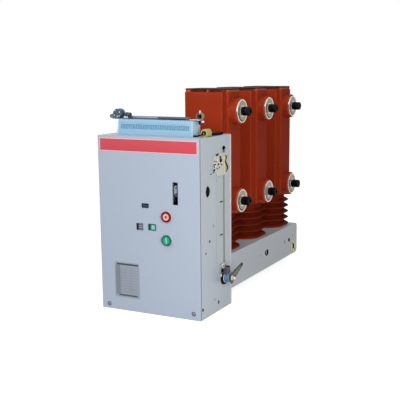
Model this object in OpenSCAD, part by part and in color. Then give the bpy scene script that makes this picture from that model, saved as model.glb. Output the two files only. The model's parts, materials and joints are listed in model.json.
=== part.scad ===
// Side mounted vacuum circuit breaker: mechanism box, base beam and three poles.
// Origin: centre of the beam's underside below the middle pole. +X is the terminal
// side, -Y is the control panel, +Z is up. Millimetres.

/* [Poles] */
// Distance between neighbouring pole axes along Y
pole_pitch = 210; // [200:5:260]
// Distance between the lower and the upper terminal of one pole
terminal_rise = 275; // [260:5:300]
// Height of the lower terminals above the beam's underside
lower_terminal_z = 266; // [262:1:290]
// Size of the moulded body along X
body_size_x = 129; // [124:1:134]
// Size of the shedded foot along X
foot_size_x = 122; // [118:1:124]
// Size of the moulded body along Y
body_size_y = 120; // [112:1:126]
// Radius of the body's vertical corners
body_corner_r = 6; // [4:1:20]
// Radius of the foot's corners between the sheds
foot_corner_r = 37; // [32:1:50]
// Width of the raised rib that carries the terminals
nose_width = 87; // [82:1:92]
// How far the raised rib stands out of the body
nose_depth = 13; // [10:1:18]
// Radius of the rib's vertical edges
nose_edge_r = 7; // [3:1:9]
// Body above the upper terminal's axis
body_above_terminal = 58; // [48:1:62]
// Number of sheds round the pole's foot
shed_count = 5; // [3:1:5]
// Distance from one shed to the next
shed_pitch = 21.7; // [20:0.1:22]
// How far each shed stands out
shed_depth = 16; // [10:1:18]
// Height of a shed where it leaves the column
shed_root = 19; // [12:1:19]
// Height of a shed at its tip
shed_tip = 3; // [2:0.5:4]
// Height of the open slots below the pole's cap
vent_height = 6; // [4:1:9]
// Depth of those slots
vent_depth = 22; // [18:1:26]
// Thickness of the cap plate
cap_thickness = 4; // [3:0.5:8]

/* [Terminals] */
// Radius of the round boss behind each terminal
boss_r = 40; // [36:0.5:41]
// Length of the boss from the rib to the contact disc
boss_length = 22.5; // [18:0.5:30]
// Radius of the contact disc
disc_r = 35.5; // [33:0.5:38]
// Thickness of the contact disc
disc_thickness = 4; // [3:0.5:6]
// Radius of the clamping bolt's head
bolt_head_r = 13.5; // [10:0.5:15]
// Length of the clamping bolt that stands out
bolt_length = 26; // [20:1:40]

/* [Mechanism box] */
// Width of the box along X
box_width = 330; // [326:1:345]
// Depth of the box along Y
box_depth = 194; // [185:1:205]
// Height of the box
box_height = 511; // [505:1:525]
// How far the box hangs below the beam's underside
box_drop = 30; // [20:1:36]
// Thickness of the box's sheet
sheet = 2; // [1.5:0.5:2.5]
// Distance from the first pole's axis to the box's rear
pole_to_box = 116; // [104:1:130]
// How far the box's right side stands beyond the beam's
box_side_step = 25; // [20:1:30]
// Length of the terminal block
block_length = 245; // [225:1:250]
// Height of the terminal block
block_height = 44; // [38:1:50]
// Depth of the terminal block
block_depth = 47; // [44:1:60]

/* [Front panel] */
// Height of the header strip
header_height = 37; // [30:1:42]
// Radius of the push buttons
button_r = 15; // [12:0.5:16]
// Travel of the push buttons
button_travel = 6; // [3:0.5:6]
// Width of the charging slot
slot_width = 13; // [12.5:0.5:15]
// Height of the charging slot
slot_height = 60; // [58:1:64]
// Width of the rating plate
plate_width = 83; // [70:1:90]
// Height of the rating plate
plate_height = 105; // [90:1:112]

/* [Base beam] */
// Width of the beam along X
beam_width = 190; // [184:1:192]
// Height of the beam
beam_height = 110; // [104:1:111]
// Thickness of the beam's sheet
beam_sheet = 3; // [2.5:0.5:4]
// Beam beyond the last pole's axis
beam_overhang = 76; // [68:1:90]
// Radius of the rounded corners at the beam's far end
beam_corner_r = 15; // [8:1:18]
// Spacing of the mounting holes along X
mount_spacing_x = 130; // [126:1:136]
// Spacing of the mounting holes along Y
mount_spacing_y = 420; // [380:5:440]
// Radius of the mounting holes
mount_hole_r = 6.5; // [5:0.5:7]

/* [Interlock] */
// Length of the lever from its pivot to its tip
lever_length = 74; // [60:1:80]
// Radius of the interlock shaft
shaft_r = 8; // [6:0.5:9]

/* [Hidden] */
$fn = 64;
eps = 0.01;

epoxy = [0.58, 0.20, 0.12];
panel_grey = [0.70, 0.74, 0.78];
side_grey = [0.72, 0.75, 0.76];
zinc = [0.66, 0.67, 0.66];
black = [0.06, 0.06, 0.06];

// poles
pole_y = [-pole_pitch, 0, pole_pitch];
half_x = body_size_x / 2;
half_y = body_size_y / 2;
corner_x = half_x - body_corner_r;
corner_y = half_y - body_corner_r;
foot_x = foot_size_x / 2 - foot_corner_r;
foot_y = half_y - foot_corner_r;
upper_terminal_z = lower_terminal_z + terminal_rise;
body_top = upper_terminal_z + body_above_terminal;
cap_z = body_top + vent_height;
nose_x = half_x + nose_depth;
disc_x = nose_x + boss_length;
bolt_x = disc_x + disc_thickness;
nose_drop = 2;
nose_bottom = lower_terminal_z - boss_r + nose_drop;
foot_flange = 2;
first_shed_z = beam_height + shed_tip / 2 + foot_flange;
ledge_half = 30;
ledge_setback = 2;
vent_rear = 21;
vent_front = 8.5;
vent_rib = 6;
vent_rib_x = 14;
socket_r = 7;
socket_depth = 12;

// box
box_x1 = beam_width / 2 + box_side_step;
box_x0 = box_x1 - box_width;
box_y1 = -pole_pitch - pole_to_box;
box_y0 = box_y1 - box_depth;
box_z0 = -box_drop;
box_z1 = box_z0 + box_height;
panel_back = box_y0 + sheet;

// header strip and rating plate on the front panel
header_left = 7;
header_right = 6;
header_drop = 7;
header_x0 = box_x0 + header_left;
header_x1 = box_x1 - header_right;
header_z1 = box_z1 - header_drop;
header_thickness = 0.6;
plate_from_left = 88.5;
plate_from_bottom = 92.5;
plate_x = box_x0 + plate_from_left;
plate_z = box_z0 + plate_from_bottom;
plate_thickness = 0.8;

// push buttons
button_from_left = 224.5;
open_from_bottom = 290;
close_from_bottom = 223;
button_x = box_x0 + button_from_left;
open_z = box_z0 + open_from_bottom;
close_z = box_z0 + close_from_bottom;
bezel_gap = 0.3;
bezel_wall = 1.5;
bezel_lip = 1.2;
bezel_inner_r = button_r + bezel_gap;
bezel_tube_r = bezel_inner_r + bezel_wall;
bezel_rim_r = bezel_tube_r + bezel_lip;
bezel_proud = 2.5;
bezel_floor = 4;
button_proud = 7.5;
button_head = 16;
spring_room = 15.5;
bezel_depth = button_head - button_proud + button_travel + spring_room + bezel_floor;
stem_r = 5;
stem_length = 28;

// charging slot, its lever and the bracket behind it
slot_from_left = 253.5;
slot_from_bottom = 357;
slot_x = box_x0 + slot_from_left;
slot_z = box_z0 + slot_from_bottom;
pivot_back = 40;
pivot_y = panel_back + pivot_back;
lever_pin_r = 4;
pin_gap = 0.06;
pin_end = 2;
charge_width = 8.5;
ear_gap = 2.6;
ear_thickness = 3;
ear_height = 50;
ear_back = 12;
foot_half = 6;
foot_thickness = 3;
ear_inner = charge_width / 2 + ear_gap;
charge_rest = 14;
charge_tip = 30;
charge_head = 10;
charge_arm = 14;
charge_clear = 4;
charge_hub_r = 11;
hub_step = 0.8;
bay_side = 13;
bay_end = 20;
bay_back = 8;
bay_x0 = button_x - bezel_rim_r - bay_side;
bay_x1 = slot_x + ear_inner + ear_thickness + foot_half + bay_side;
bay_z0 = close_z - bezel_rim_r - bay_side;
bay_z1 = slot_z + ear_height / 2 + bay_end;
bay_y1 = pivot_y + ear_back + bay_back;

// windows
counter_from_left = 155.5;
counter_from_bottom = 317;
counter_size = [21, 10];
state_from_left = 136;
state_from_bottom = 255;
state_size = [20, 18];
spring_from_left = 177;
spring_from_bottom = 256.5;
spring_size = [24, 17];
window_proud = 1.2;

// terminal block on the box's top
block_from_right = 46.5;
block_from_front = 40;
block_x1 = box_x1 - block_from_right;
block_x0 = block_x1 - block_length;
block_y0 = box_y0 + block_from_front;
block_y1 = block_y0 + block_depth;
block_slant = 8;
block_z1 = box_z1 + block_height;
block_slots = 40;
block_margin = 6;
comb_depth = 5;
comb_web = 1.6;
comb_low = 17;
comb_high = 30;
end_cap_length = 4;
end_cap_inset = 1;
rail_r = 4.5;
rail_back = 26;
rail_left = 42;
rail_right = 17;
rail_post = 4;
rail_foot_half = 5;

// brackets at the block's ends
lug_plate = 3;
lug_half = 11;
lug_drop = 10;
clamp_back = 18;
clamp_reach = 26;
clamp_cover = 31;
clamp_drum_r = 14;
clamp_drum_length = 24;
clamp_drum_from_end = 17;
clamp_drum_sink = 2;
clamp_tip_r = 4;
clamp_tip_sink = 0.8;
clamp_tip_length = 14;
clamp_knob_r = 6.5;
clamp_knob_length = 20;
clamp_knob_rise = 10;
stud_over = 14.5;
stud_inset = 4;
stud_r = 2.5;
stud_height = 28;
stud_drum_r = 10;
stud_drum_length = 14;
stud_drum_sink = 1;
stud_lap = 16;
stud_screw_r = 3.5;
stud_screw_length = 8;
stud_screw_drop = 3;

// cable ring on the box's top
ring_from_right = 12;
ring_from_front = 50;
ring_r = 11.5;
ring_hole_r = 6;
ring_length = 28;
ring_sink = 0.5;
ring_x = box_x1 - ring_from_right;
ring_y = box_y0 + ring_from_front;
ring_z = box_z1 + ring_r - ring_sink;
sleeve_front = 4;
sleeve_rear = 14;
cable_r = 4;
cable_rear = 84;
tail_r = 2.5;
tail_gap = 0.3;

// right side of the box
rod_from_front = 150;
rod_bottom = 139;
rod_below_plate = 2;
rod_y = box_y0 + rod_from_front;
rod_z0 = box_z0 + rod_bottom;
rod_r = 5;
rod_gap = 0.3;
rod_overlap = 20;
groove_width = 5;
cover_gap = 4;
cover_width = 45;
cover_thickness = 1.6;
side_hole_from_front = 44;
side_hole_from_bottom = 361;
side_hole_r = 16;
side_hole_depth = 40;
side_hole_y = box_y0 + side_hole_from_front;
side_hole_z = box_z0 + side_hole_from_bottom;
upper_bearing_from_top = 75;
upper_bearing_z = box_z1 - upper_bearing_from_top;
flange_r = 24.5;
flange_thickness = 6;
flange_offset = 55;
bearing_plate = 4;
plate_front = 50;
plate_rear = 17;
plate_low = 38;
plate_high = 20;
web_front = 12;
web_out = 10;
rod_z1 = upper_bearing_z - plate_low - rod_below_plate;
top_slot_r = 3.5;
top_slot_length = 22;
top_slot_from_top = 31;
top_slot_depth = 12;
top_slot_before_rod = 3;
top_slot_y = rod_y - top_slot_before_rod;
top_slot_z1 = box_z1 - top_slot_from_top;

// interlock shaft and lever
shaft_from_front = 146;
shaft_from_bottom = 94;
shaft_y = box_y0 + shaft_from_front;
shaft_z = box_z0 + shaft_from_bottom;
shaft_gap = 0.06;
shaft_inside = 24;
shaft_pocket_r = 22;
shaft_pocket_depth = 32;
bearing_out = 21;
bearing_in = 6;
bearing_wall = 10;
bearing_web_half = 7;
bearing_web_top = 40;
base_front = 32;
base_rear = 34;
base_low = 20;
base_high = 44;
lever_gap = 2;
lever_thickness = 4;
lever_x = box_x1 + bearing_out + lever_gap;
lever_rest_angle = 20;
lever_root_r = 18;
lever_tip_r = 5;
shaft_nut_r = 9;
shaft_nut_height = 5;
shaft_end = 9;
shaft_end_r = 4.5;

// beam
beam_y1 = pole_pitch + beam_overhang;
end_inset = beam_corner_r + 1;
end_plate_y = beam_y1 - end_inset;
hole_margin = 9.5;
opening_half = mount_spacing_x / 2 - mount_hole_r - hole_margin;
strap_half = 45;
side_slot_y = 0;
side_slot_z = 55;
side_slot_r = 7;
side_slot_length = 24;
side_dot_from_slot = 47;
side_dot_r = 3;
side_hole_from_pole = 3;
side_hole_rise = 3;
beam_side_hole_r = 7;

// solid along X from x0 to x1
module rod_x(x0, x1, y, z, r) {
  translate([x0, y, z])
    rotate([0, 90, 0])
      cylinder(h = x1 - x0, r = r);
}

// solid along Y from y0 to y1
module rod_y_dir(y0, y1, x, z, r) {
  translate([x, y0, z])
    rotate([-90, 0, 0])
      cylinder(h = y1 - y0, r = r);
}

// box between two corners
module span(a, b) {
  translate(a)
    cube(b - a);
}

// upright prism with rounded vertical edges, cx and cy reach to the edge centres
module rounded_prism(cx, cy, r, z0, z1) {
  span([-cx - r, -cy, z0], [cx + r, cy, z1]);
  span([-cx, -cy - r, z0], [cx, cy + r, z1]);
  for (sx = [-1, 1]) {
    for (sy = [-1, 1]) {
      translate([sx * cx, sy * cy, z0])
        cylinder(h = z1 - z0, r = r);
    }
  }
}

// outline of the shedded foot: radius beyond the edge centres, and height
function shed_points(k) =
  let (z = first_shed_z + k * shed_pitch)
  [
    [foot_corner_r, z - shed_root / 2],
    [foot_corner_r + shed_depth, z - shed_tip / 2],
    [foot_corner_r + shed_depth, z + shed_tip / 2],
    [foot_corner_r, z + shed_root / 2]
  ];
lowest_shed = [
  [foot_corner_r + shed_depth, beam_height],
  [foot_corner_r + shed_depth, first_shed_z + shed_tip / 2],
  [foot_corner_r, first_shed_z + shed_root / 2]
];
upper_sheds = [for (k = [1 : shed_count - 1]) each shed_points(k)];
foot_outline = concat(lowest_shed, upper_sheds, [[foot_corner_r, nose_bottom]]);

// the same outline moved out by d, closed to the axis
function closed_outline(d) = concat(
  [[0, beam_height]],
  [for (p = foot_outline) [p[0] + d, p[1]]],
  [[0, nose_bottom]]
);
function mirrored_outline(d) = concat(
  [for (p = foot_outline) [p[0] + d, p[1]]],
  [for (i = [len(foot_outline) - 1 : -1 : 0]) [-foot_outline[i][0] - d, foot_outline[i][1]]]
);

module shedded_foot() {
  for (sx = [-1, 1]) {
    for (sy = [-1, 1]) {
      translate([sx * foot_x, sy * foot_y, 0])
        rotate_extrude()
          polygon(closed_outline(0));
    }
  }
  translate([0, foot_y, 0])
    rotate([90, 0, 0])
      linear_extrude(height = 2 * foot_y)
        polygon(mirrored_outline(foot_x));
  translate([-foot_x, 0, 0])
    rotate([90, 0, 90])
      linear_extrude(height = 2 * foot_x)
        polygon(mirrored_outline(foot_y));
}

// raised rib on the +X side, from height z0 to z1
module nose(z0, z1) {
  half = nose_width / 2;
  span([0, -half, z0], [nose_x - nose_edge_r, half, z1]);
  span([0, nose_edge_r - half, z0], [nose_x, half - nose_edge_r, z1]);
  for (s = [-1, 1]) {
    translate([nose_x - nose_edge_r, s * (half - nose_edge_r), z0])
      cylinder(h = z1 - z0, r = nose_edge_r);
  }
}

// open slots below the cap, two on each side, parted by a rib
module vent_slots() {
  for (sy = [0, 1]) {
    mirror([0, sy, 0]) {
      span(
        [vent_rear - half_x, -half_y - 1, body_top],
        [vent_rib_x - vent_rib / 2, vent_depth - half_y, cap_z + 1]
      );
      span(
        [vent_rib_x + vent_rib / 2, -half_y - 1, body_top],
        [nose_x - vent_front, vent_depth - half_y, cap_z + 1]
      );
    }
  }
}

module pole_body() {
  shedded_foot();
  difference() {
    union() {
      rounded_prism(corner_x, corner_y, body_corner_r, nose_bottom - eps, cap_z);
      nose(nose_bottom, cap_z);
    }
    vent_slots();
  }
  rod_x(0, disc_x, 0, upper_terminal_z, boss_r);
  rod_x(0, disc_x, 0, lower_terminal_z, boss_r);
  span([0, -ledge_half, nose_bottom], [disc_x - ledge_setback, ledge_half, lower_terminal_z]);
}

module pole(i) {
  color(epoxy)
    translate([0, pole_y[i], 0])
      pole_body();
}

module cap(i) {
  color([0.36, 0.34, 0.35])
    translate([0, pole_y[i], 0])
      union() {
        rounded_prism(corner_x, corner_y, body_corner_r, cap_z, cap_z + cap_thickness);
        nose(cap_z, cap_z + cap_thickness);
      }
}

module disc(i, z) {
  color(zinc)
    rod_x(disc_x, disc_x + disc_thickness, pole_y[i], z, disc_r);
}

module bolt(i, z) {
  color(black)
    difference() {
      rod_x(bolt_x, bolt_x + bolt_length, pole_y[i], z, bolt_head_r);
      translate([bolt_x + bolt_length - socket_depth, pole_y[i], z])
        rotate([0, 90, 0])
          cylinder(h = socket_depth + 1, r = socket_r, $fn = 6);
    }
}

// sheet in front of the box, cut out for the buttons and the charging slot
module front_panel() {
  color(panel_grey)
    difference() {
      span([box_x0, box_y0, box_z0], [box_x1, panel_back, box_z1]);
      rod_y_dir(box_y0 - 1, panel_back + 1, button_x, open_z, bezel_tube_r);
      rod_y_dir(box_y0 - 1, panel_back + 1, button_x, close_z, bezel_tube_r);
      span(
        [slot_x - slot_width / 2, box_y0 - 1, slot_z - slot_height / 2],
        [slot_x + slot_width / 2, panel_back + 1, slot_z + slot_height / 2]
      );
    }
}

// closed body of the box, with pockets where its inside can be reached
module housing_shell() {
  color(side_grey)
    difference() {
      span([box_x0, panel_back, box_z0], [box_x1, box_y1, box_z1]);
      span([bay_x0, panel_back - 1, bay_z0], [bay_x1, bay_y1, bay_z1]);
      rod_x(box_x1 - side_hole_depth, box_x1 + 1, side_hole_y, side_hole_z, side_hole_r);
      rod_x(box_x1 - shaft_pocket_depth, box_x1 + 1, shaft_y, shaft_z, shaft_pocket_r);
      for (z = [top_slot_z1 - top_slot_length + top_slot_r, top_slot_z1 - top_slot_r]) {
        rod_x(box_x1 - top_slot_depth, box_x1 + 1, top_slot_y, z, top_slot_r);
      }
      span(
        [box_x1 - top_slot_depth, top_slot_y - top_slot_r, top_slot_z1 - top_slot_length + top_slot_r],
        [box_x1 + 1, top_slot_y + top_slot_r, top_slot_z1 - top_slot_r]
      );
      span(
        [box_x1 - sheet - 1, rod_y - groove_width / 2, rod_z0],
        [box_x1 + 1, rod_y + groove_width / 2, rod_z1]
      );
      span(
        [box_x1 - sheet - 2 * rod_r - rod_gap, rod_y - rod_r - rod_gap, rod_z0 - rod_overlap],
        [box_x1 - sheet, rod_y + rod_r + rod_gap, rod_z1 + rod_overlap]
      );
    }
}

module header_strip() {
  color([0.85, 0.25, 0.28])
    span(
      [header_x0, box_y0 - header_thickness, header_z1 - header_height],
      [header_x1, box_y0, header_z1]
    );
}

module rating_plate() {
  color([0.74, 0.77, 0.80])
    span(
      [plate_x - plate_width / 2, box_y0 - plate_thickness, plate_z - plate_height / 2],
      [plate_x + plate_width / 2, box_y0, plate_z + plate_height / 2]
    );
}

// slanted left end, square right end, with a comb of marker slots in front
module terminal_block() {
  pitch = (block_x1 - block_x0 - block_slant - 2 * block_margin) / block_slots;
  first = block_x0 + block_slant + block_margin;
  color([0.55, 0.76, 0.85])
    difference() {
      translate([0, block_y1, 0])
        rotate([90, 0, 0])
          linear_extrude(height = block_depth)
            polygon([
              [block_x0, box_z1],
              [block_x1, box_z1],
              [block_x1, block_z1],
              [block_x0 + block_slant, block_z1]
            ]);
      for (i = [0 : block_slots - 1]) {
        span(
          [first + i * pitch + comb_web / 2, block_y0 - 1, box_z1 + comb_low],
          [first + (i + 1) * pitch - comb_web / 2, block_y0 + comb_depth, box_z1 + comb_high]
        );
      }
    }
}

module block_end_cap() {
  color([0.70, 0.84, 0.90])
    span(
      [block_x1, block_y0 + end_cap_inset, box_z1],
      [block_x1 + end_cap_length, block_y1 - end_cap_inset, block_z1 - end_cap_inset]
    );
}

module block_rail() {
  y = block_y0 + rail_back;
  x0 = block_x0 + rail_left;
  x1 = block_x1 - rail_right;
  color([0.35, 0.37, 0.40])
    union() {
      rod_x(x0, x1, y, block_z1 + rail_r, rail_r);
      for (x = [x0 + rail_post, x1 - 3 * rail_post]) {
        span([x, y - rail_foot_half, block_z1], [x + 2 * rail_post, y + rail_foot_half, block_z1 + rail_r]);
      }
    }
}

// clamp on the block's left end: an upright drum, its tip, and a small knob beside it
module left_lug() {
  y = block_y0 + clamp_back;
  x0 = block_x0 + block_slant - clamp_reach;
  x1 = block_x0 + block_slant + clamp_cover;
  drum_x = x0 + clamp_drum_from_end;
  drum_z = block_z1 + lug_plate + clamp_drum_r - clamp_drum_sink;
  tip_z = block_z1 + lug_plate + clamp_tip_r - clamp_tip_sink;
  knob_z = block_z1 + lug_plate + clamp_knob_rise;
  color(zinc)
    union() {
      span([x0, y - lug_half, block_z1], [x1, y + lug_half, block_z1 + lug_plate]);
      rod_y_dir(y - clamp_drum_length / 2, y + clamp_drum_length / 2, drum_x, drum_z, clamp_drum_r);
      rod_x(x0 - clamp_tip_length, drum_x, y, tip_z, clamp_tip_r);
      rod_x(x1 - clamp_knob_length, x1, y, knob_z, clamp_knob_r);
      span(
        [x1 - clamp_knob_length, y - clamp_knob_r / 2, block_z1],
        [x1 - clamp_knob_length / 2, y + clamp_knob_r / 2, knob_z]
      );
    }
}

// bracket over the block's right end with a drum, an upright stud and a side screw
module right_lug() {
  y = block_y0 + rail_back;
  x1 = block_x1 + end_cap_length + stud_over;
  stud_x = x1 - stud_inset;
  color(zinc)
    union() {
      span([block_x1 - stud_lap, y - lug_half, block_z1], [x1, y + lug_half, block_z1 + lug_plate]);
      span([x1 - lug_plate, y - lug_half, block_z1 - lug_drop], [x1, y + lug_half, block_z1 + lug_plate]);
      rod_y_dir(
        y - stud_drum_length / 2, y + stud_drum_length / 2,
        stud_x, block_z1 + lug_plate + stud_drum_r - stud_drum_sink, stud_drum_r
      );
      translate([stud_x, y, block_z1])
        cylinder(h = stud_height, r = stud_r);
      rod_x(x1 - lug_plate, x1 + stud_screw_length, y, block_z1 - stud_screw_drop, stud_screw_r);
    }
}

// soft tube that lies on the box's top, cut flat below
module cable_ring() {
  color([0.85, 0.78, 0.35])
    difference() {
      rod_y_dir(ring_y, ring_y + ring_length, ring_x, ring_z, ring_r);
      rod_y_dir(ring_y - 1, ring_y + ring_length + 1, ring_x, ring_z, ring_hole_r);
      span(
        [ring_x - ring_r, ring_y - 1, box_z1 - ring_r],
        [ring_x + ring_r, ring_y + ring_length + 1, box_z1]
      );
    }
}

// sleeve through the ring, its cable behind it on the box's top, and a thin tail in front
module cable_sleeve() {
  y = ring_y - sleeve_front;
  ring_rear = ring_y + ring_length;
  color(black)
    union() {
      rod_y_dir(y, ring_rear + sleeve_rear, ring_x, ring_z, ring_hole_r);
      rod_y_dir(ring_rear + tail_gap, ring_rear + cable_rear, ring_x, box_z1 + cable_r, cable_r);
      rod_x(block_x1 + end_cap_length + tail_gap, ring_x, y - tail_r, box_z1 + 2 * tail_r, tail_r);
      span([ring_x - tail_r, y - 2 * tail_r, box_z1], [ring_x + tail_r, y, ring_z]);
    }
}

module window(from_left, from_bottom, size, c) {
  x = box_x0 + from_left;
  z = box_z0 + from_bottom;
  color(c)
    span(
      [x - size[0] / 2, box_y0 - window_proud, z - size[1] / 2],
      [x + size[0] / 2, box_y0, z + size[1] / 2]
    );
}

module counter_window() {
  window(counter_from_left, counter_from_bottom, counter_size, [0.12, 0.13, 0.16]);
}

module state_window() {
  window(state_from_left, state_from_bottom, state_size, [0.14, 0.12, 0.22]);
}

module spring_window() {
  window(spring_from_left, spring_from_bottom, spring_size, [0.10, 0.45, 0.35]);
}

module bezel(z) {
  color([0.60, 0.62, 0.64])
    difference() {
      union() {
        rod_y_dir(box_y0 - bezel_proud, box_y0, button_x, z, bezel_rim_r);
        rod_y_dir(box_y0 - eps, box_y0 + bezel_depth, button_x, z, bezel_tube_r);
      }
      rod_y_dir(
        box_y0 - bezel_proud - 1, box_y0 + bezel_depth - bezel_floor,
        button_x, z, bezel_inner_r
      );
      rod_y_dir(box_y0, box_y0 + bezel_depth + 1, button_x, z, stem_r + bezel_gap);
    }
}

module button(z, c) {
  color(c)
    union() {
      rod_y_dir(box_y0 - button_proud, box_y0 - button_proud + button_head, button_x, z, button_r);
      rod_y_dir(
        box_y0 - button_proud + button_head - eps,
        box_y0 - button_proud + button_head + stem_length,
        button_x, z, stem_r
      );
    }
}

module open_bezel() {
  bezel(open_z);
}

module close_bezel() {
  bezel(close_z);
}

module open_button() {
  button(open_z, [0.80, 0.16, 0.14]);
}

module close_button() {
  button(close_z, [0.08, 0.55, 0.36]);
}

module charge_bracket() {
  color(zinc)
    union() {
      for (s = [-1, 1]) {
        translate([slot_x + s * (ear_inner + ear_thickness / 2), 0, slot_z])
          span(
            [-ear_thickness / 2, panel_back, -ear_height / 2],
            [ear_thickness / 2, pivot_y + ear_back, ear_height / 2]
          );
        translate([slot_x + s * (ear_inner + ear_thickness + foot_half - eps), 0, slot_z])
          span(
            [-foot_half, panel_back, -ear_height / 2],
            [foot_half, panel_back + foot_thickness, ear_height / 2]
          );
      }
      rod_x(
        slot_x - ear_inner - ear_thickness - pin_end, slot_x + ear_inner + ear_thickness + pin_end,
        pivot_y, slot_z, lever_pin_r
      );
    }
}

module charge_lever() {
  front = pivot_back - charge_clear;
  hub_half = charge_width / 2 + hub_step;
  color([0.72, 0.73, 0.74])
    translate([slot_x, pivot_y, slot_z])
      difference() {
        union() {
          rod_x(-hub_half, hub_half, 0, 0, charge_hub_r);
          rotate([-charge_rest, 0, 0])
            translate([-charge_width / 2, 0, 0])
              rotate([90, 0, 90])
                linear_extrude(height = charge_width)
                  polygon([
                    [0, -charge_arm / 2],
                    [-front + charge_head, -charge_arm / 2],
                    [-front + charge_head, -charge_tip / 2],
                    [-front, -charge_tip / 2],
                    [-front, charge_tip / 2],
                    [-front + charge_head, charge_tip / 2],
                    [-front + charge_head, charge_arm / 2],
                    [0, charge_arm / 2]
                  ]);
        }
        rod_x(-hub_half - 1, hub_half + 1, 0, 0, lever_pin_r + pin_gap);
      }
}

module rod_cover() {
  color(side_grey)
    span(
      [box_x1, rod_y - groove_width / 2 - cover_gap - cover_width, rod_z0],
      [box_x1 + cover_thickness, rod_y - groove_width / 2 - cover_gap, rod_z1]
    );
}

module interlock_rod() {
  color([0.50, 0.50, 0.38])
    translate([box_x1 - sheet - rod_r, rod_y, rod_z0 - rod_overlap])
      cylinder(h = rod_z1 - rod_z0 + 2 * rod_overlap, r = rod_r);
}

module upper_bearing() {
  z = upper_bearing_z;
  color([0.76, 0.73, 0.62])
    union() {
      rod_x(box_x1, box_x1 + flange_thickness, rod_y - flange_offset, z, flange_r);
      span(
        [box_x1, rod_y - plate_front, z - plate_low],
        [box_x1 + bearing_plate, rod_y + plate_rear, z + plate_high]
      );
      span(
        [box_x1, rod_y - web_front, z - plate_low],
        [box_x1 + web_out, rod_y - web_front + bearing_plate, z + plate_high]
      );
    }
}

module lower_bearing() {
  color([0.50, 0.58, 0.68])
    difference() {
      union() {
        span(
          [box_x1, shaft_y - base_front, shaft_z + base_low],
          [box_x1 + bearing_plate, shaft_y + base_rear, shaft_z + base_high]
        );
        rod_x(box_x1 - bearing_in, box_x1 + bearing_out, shaft_y, shaft_z, shaft_r + bearing_wall);
        span(
          [box_x1, shaft_y - bearing_web_half, shaft_z],
          [box_x1 + bearing_out, shaft_y + bearing_web_half, shaft_z + bearing_web_top]
        );
      }
      rod_x(box_x1 - bearing_in - 1, box_x1 + bearing_out + 1, shaft_y, shaft_z, shaft_r + shaft_gap);
    }
}

module interlock_lever() {
  tip_y = lever_length * cos(lever_rest_angle);
  tip_z = lever_length * sin(lever_rest_angle);
  face = lever_x + lever_thickness;
  color([0.55, 0.56, 0.50])
    union() {
      rod_x(box_x1 - shaft_inside, face, shaft_y, shaft_z, shaft_r);
      rod_x(face, face + shaft_end, shaft_y, shaft_z, shaft_end_r);
      hull() {
        rod_x(lever_x, face, shaft_y, shaft_z, lever_root_r);
        rod_x(lever_x, face, shaft_y + tip_y, shaft_z + tip_z, lever_tip_r);
      }
      translate([face, shaft_y, shaft_z])
        rotate([0, 90, 0])
          cylinder(h = shaft_nut_height, r = shaft_nut_r, $fn = 6);
    }
}

// beam seen from the side, with its far corners rounded
module beam_block(x) {
  near_y = beam_y1 - beam_corner_r;
  span([-x, box_y1, 0], [x, near_y, beam_height]);
  span([-x, box_y1, beam_corner_r], [x, beam_y1, beam_height - beam_corner_r]);
  rod_x(-x, x, near_y, beam_corner_r, beam_corner_r);
  rod_x(-x, x, near_y, beam_height - beam_corner_r, beam_corner_r);
}

module base_beam() {
  x = beam_width / 2;
  inner = x - beam_sheet;
  slot_end = side_slot_length / 2 - side_slot_r;
  color(side_grey)
    difference() {
      beam_block(x);
      span(
        [-inner, box_y1 + beam_sheet, beam_sheet],
        [inner, beam_y1 + 1, beam_height - beam_sheet]
      );
      span([-inner, end_plate_y, -1], [inner, beam_y1 + 1, beam_height + 1]);
      span([-opening_half, box_y1 + strap_half, -1], [opening_half, -strap_half, beam_sheet + 1]);
      span([-opening_half, strap_half, -1], [opening_half, end_plate_y - strap_half, beam_sheet + 1]);
      for (sx = [-1, 1]) {
        for (sy = [-1, 1]) {
          translate([sx * mount_spacing_x / 2, sy * mount_spacing_y / 2, -1])
            cylinder(h = beam_sheet + 2, r = mount_hole_r);
        }
      }
      rod_x(inner - 1, x + 1, side_slot_y - slot_end, side_slot_z, side_slot_r);
      rod_x(inner - 1, x + 1, side_slot_y + slot_end, side_slot_z, side_slot_r);
      span(
        [inner - 1, side_slot_y - slot_end, side_slot_z - side_slot_r],
        [x + 1, side_slot_y + slot_end, side_slot_z + side_slot_r]
      );
      rod_x(inner - 1, x + 1, side_slot_y - side_dot_from_slot, side_slot_z, side_dot_r);
      rod_x(
        inner - 1, x + 1,
        pole_pitch - side_hole_from_pole, side_slot_z + side_hole_rise, beam_side_hole_r
      );
    }
}

module beam_end_plate() {
  inner = beam_width / 2 - beam_sheet;
  color(side_grey)
    span(
      [-inner, end_plate_y - beam_sheet, beam_sheet],
      [inner, end_plate_y, beam_height - beam_sheet]
    );
}

front_panel();
housing_shell();
header_strip();
rating_plate();
terminal_block();
block_end_cap();
block_rail();
left_lug();
right_lug();
cable_ring();
cable_sleeve();
counter_window();
state_window();
spring_window();
open_bezel();
open_button();
close_bezel();
close_button();
charge_bracket();
charge_lever();
rod_cover();
interlock_rod();
upper_bearing();
lower_bearing();
interlock_lever();
base_beam();
beam_end_plate();
pole(0);  // pole_a
pole(1);  // pole_b
pole(2);  // pole_c
cap(0);  // cap_a
cap(1);  // cap_b
cap(2);  // cap_c
disc(0, upper_terminal_z);  // upper_disc_a
disc(1, upper_terminal_z);  // upper_disc_b
disc(2, upper_terminal_z);  // upper_disc_c
disc(0, lower_terminal_z);  // lower_disc_a
disc(1, lower_terminal_z);  // lower_disc_b
disc(2, lower_terminal_z);  // lower_disc_c
bolt(0, upper_terminal_z);  // upper_bolt_a
bolt(1, upper_terminal_z);  // upper_bolt_b
bolt(2, upper_terminal_z);  // upper_bolt_c
bolt(0, lower_terminal_z);  // lower_bolt_a
bolt(1, lower_terminal_z);  // lower_bolt_b
bolt(2, lower_terminal_z);  // lower_bolt_c
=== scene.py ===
import json

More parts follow.
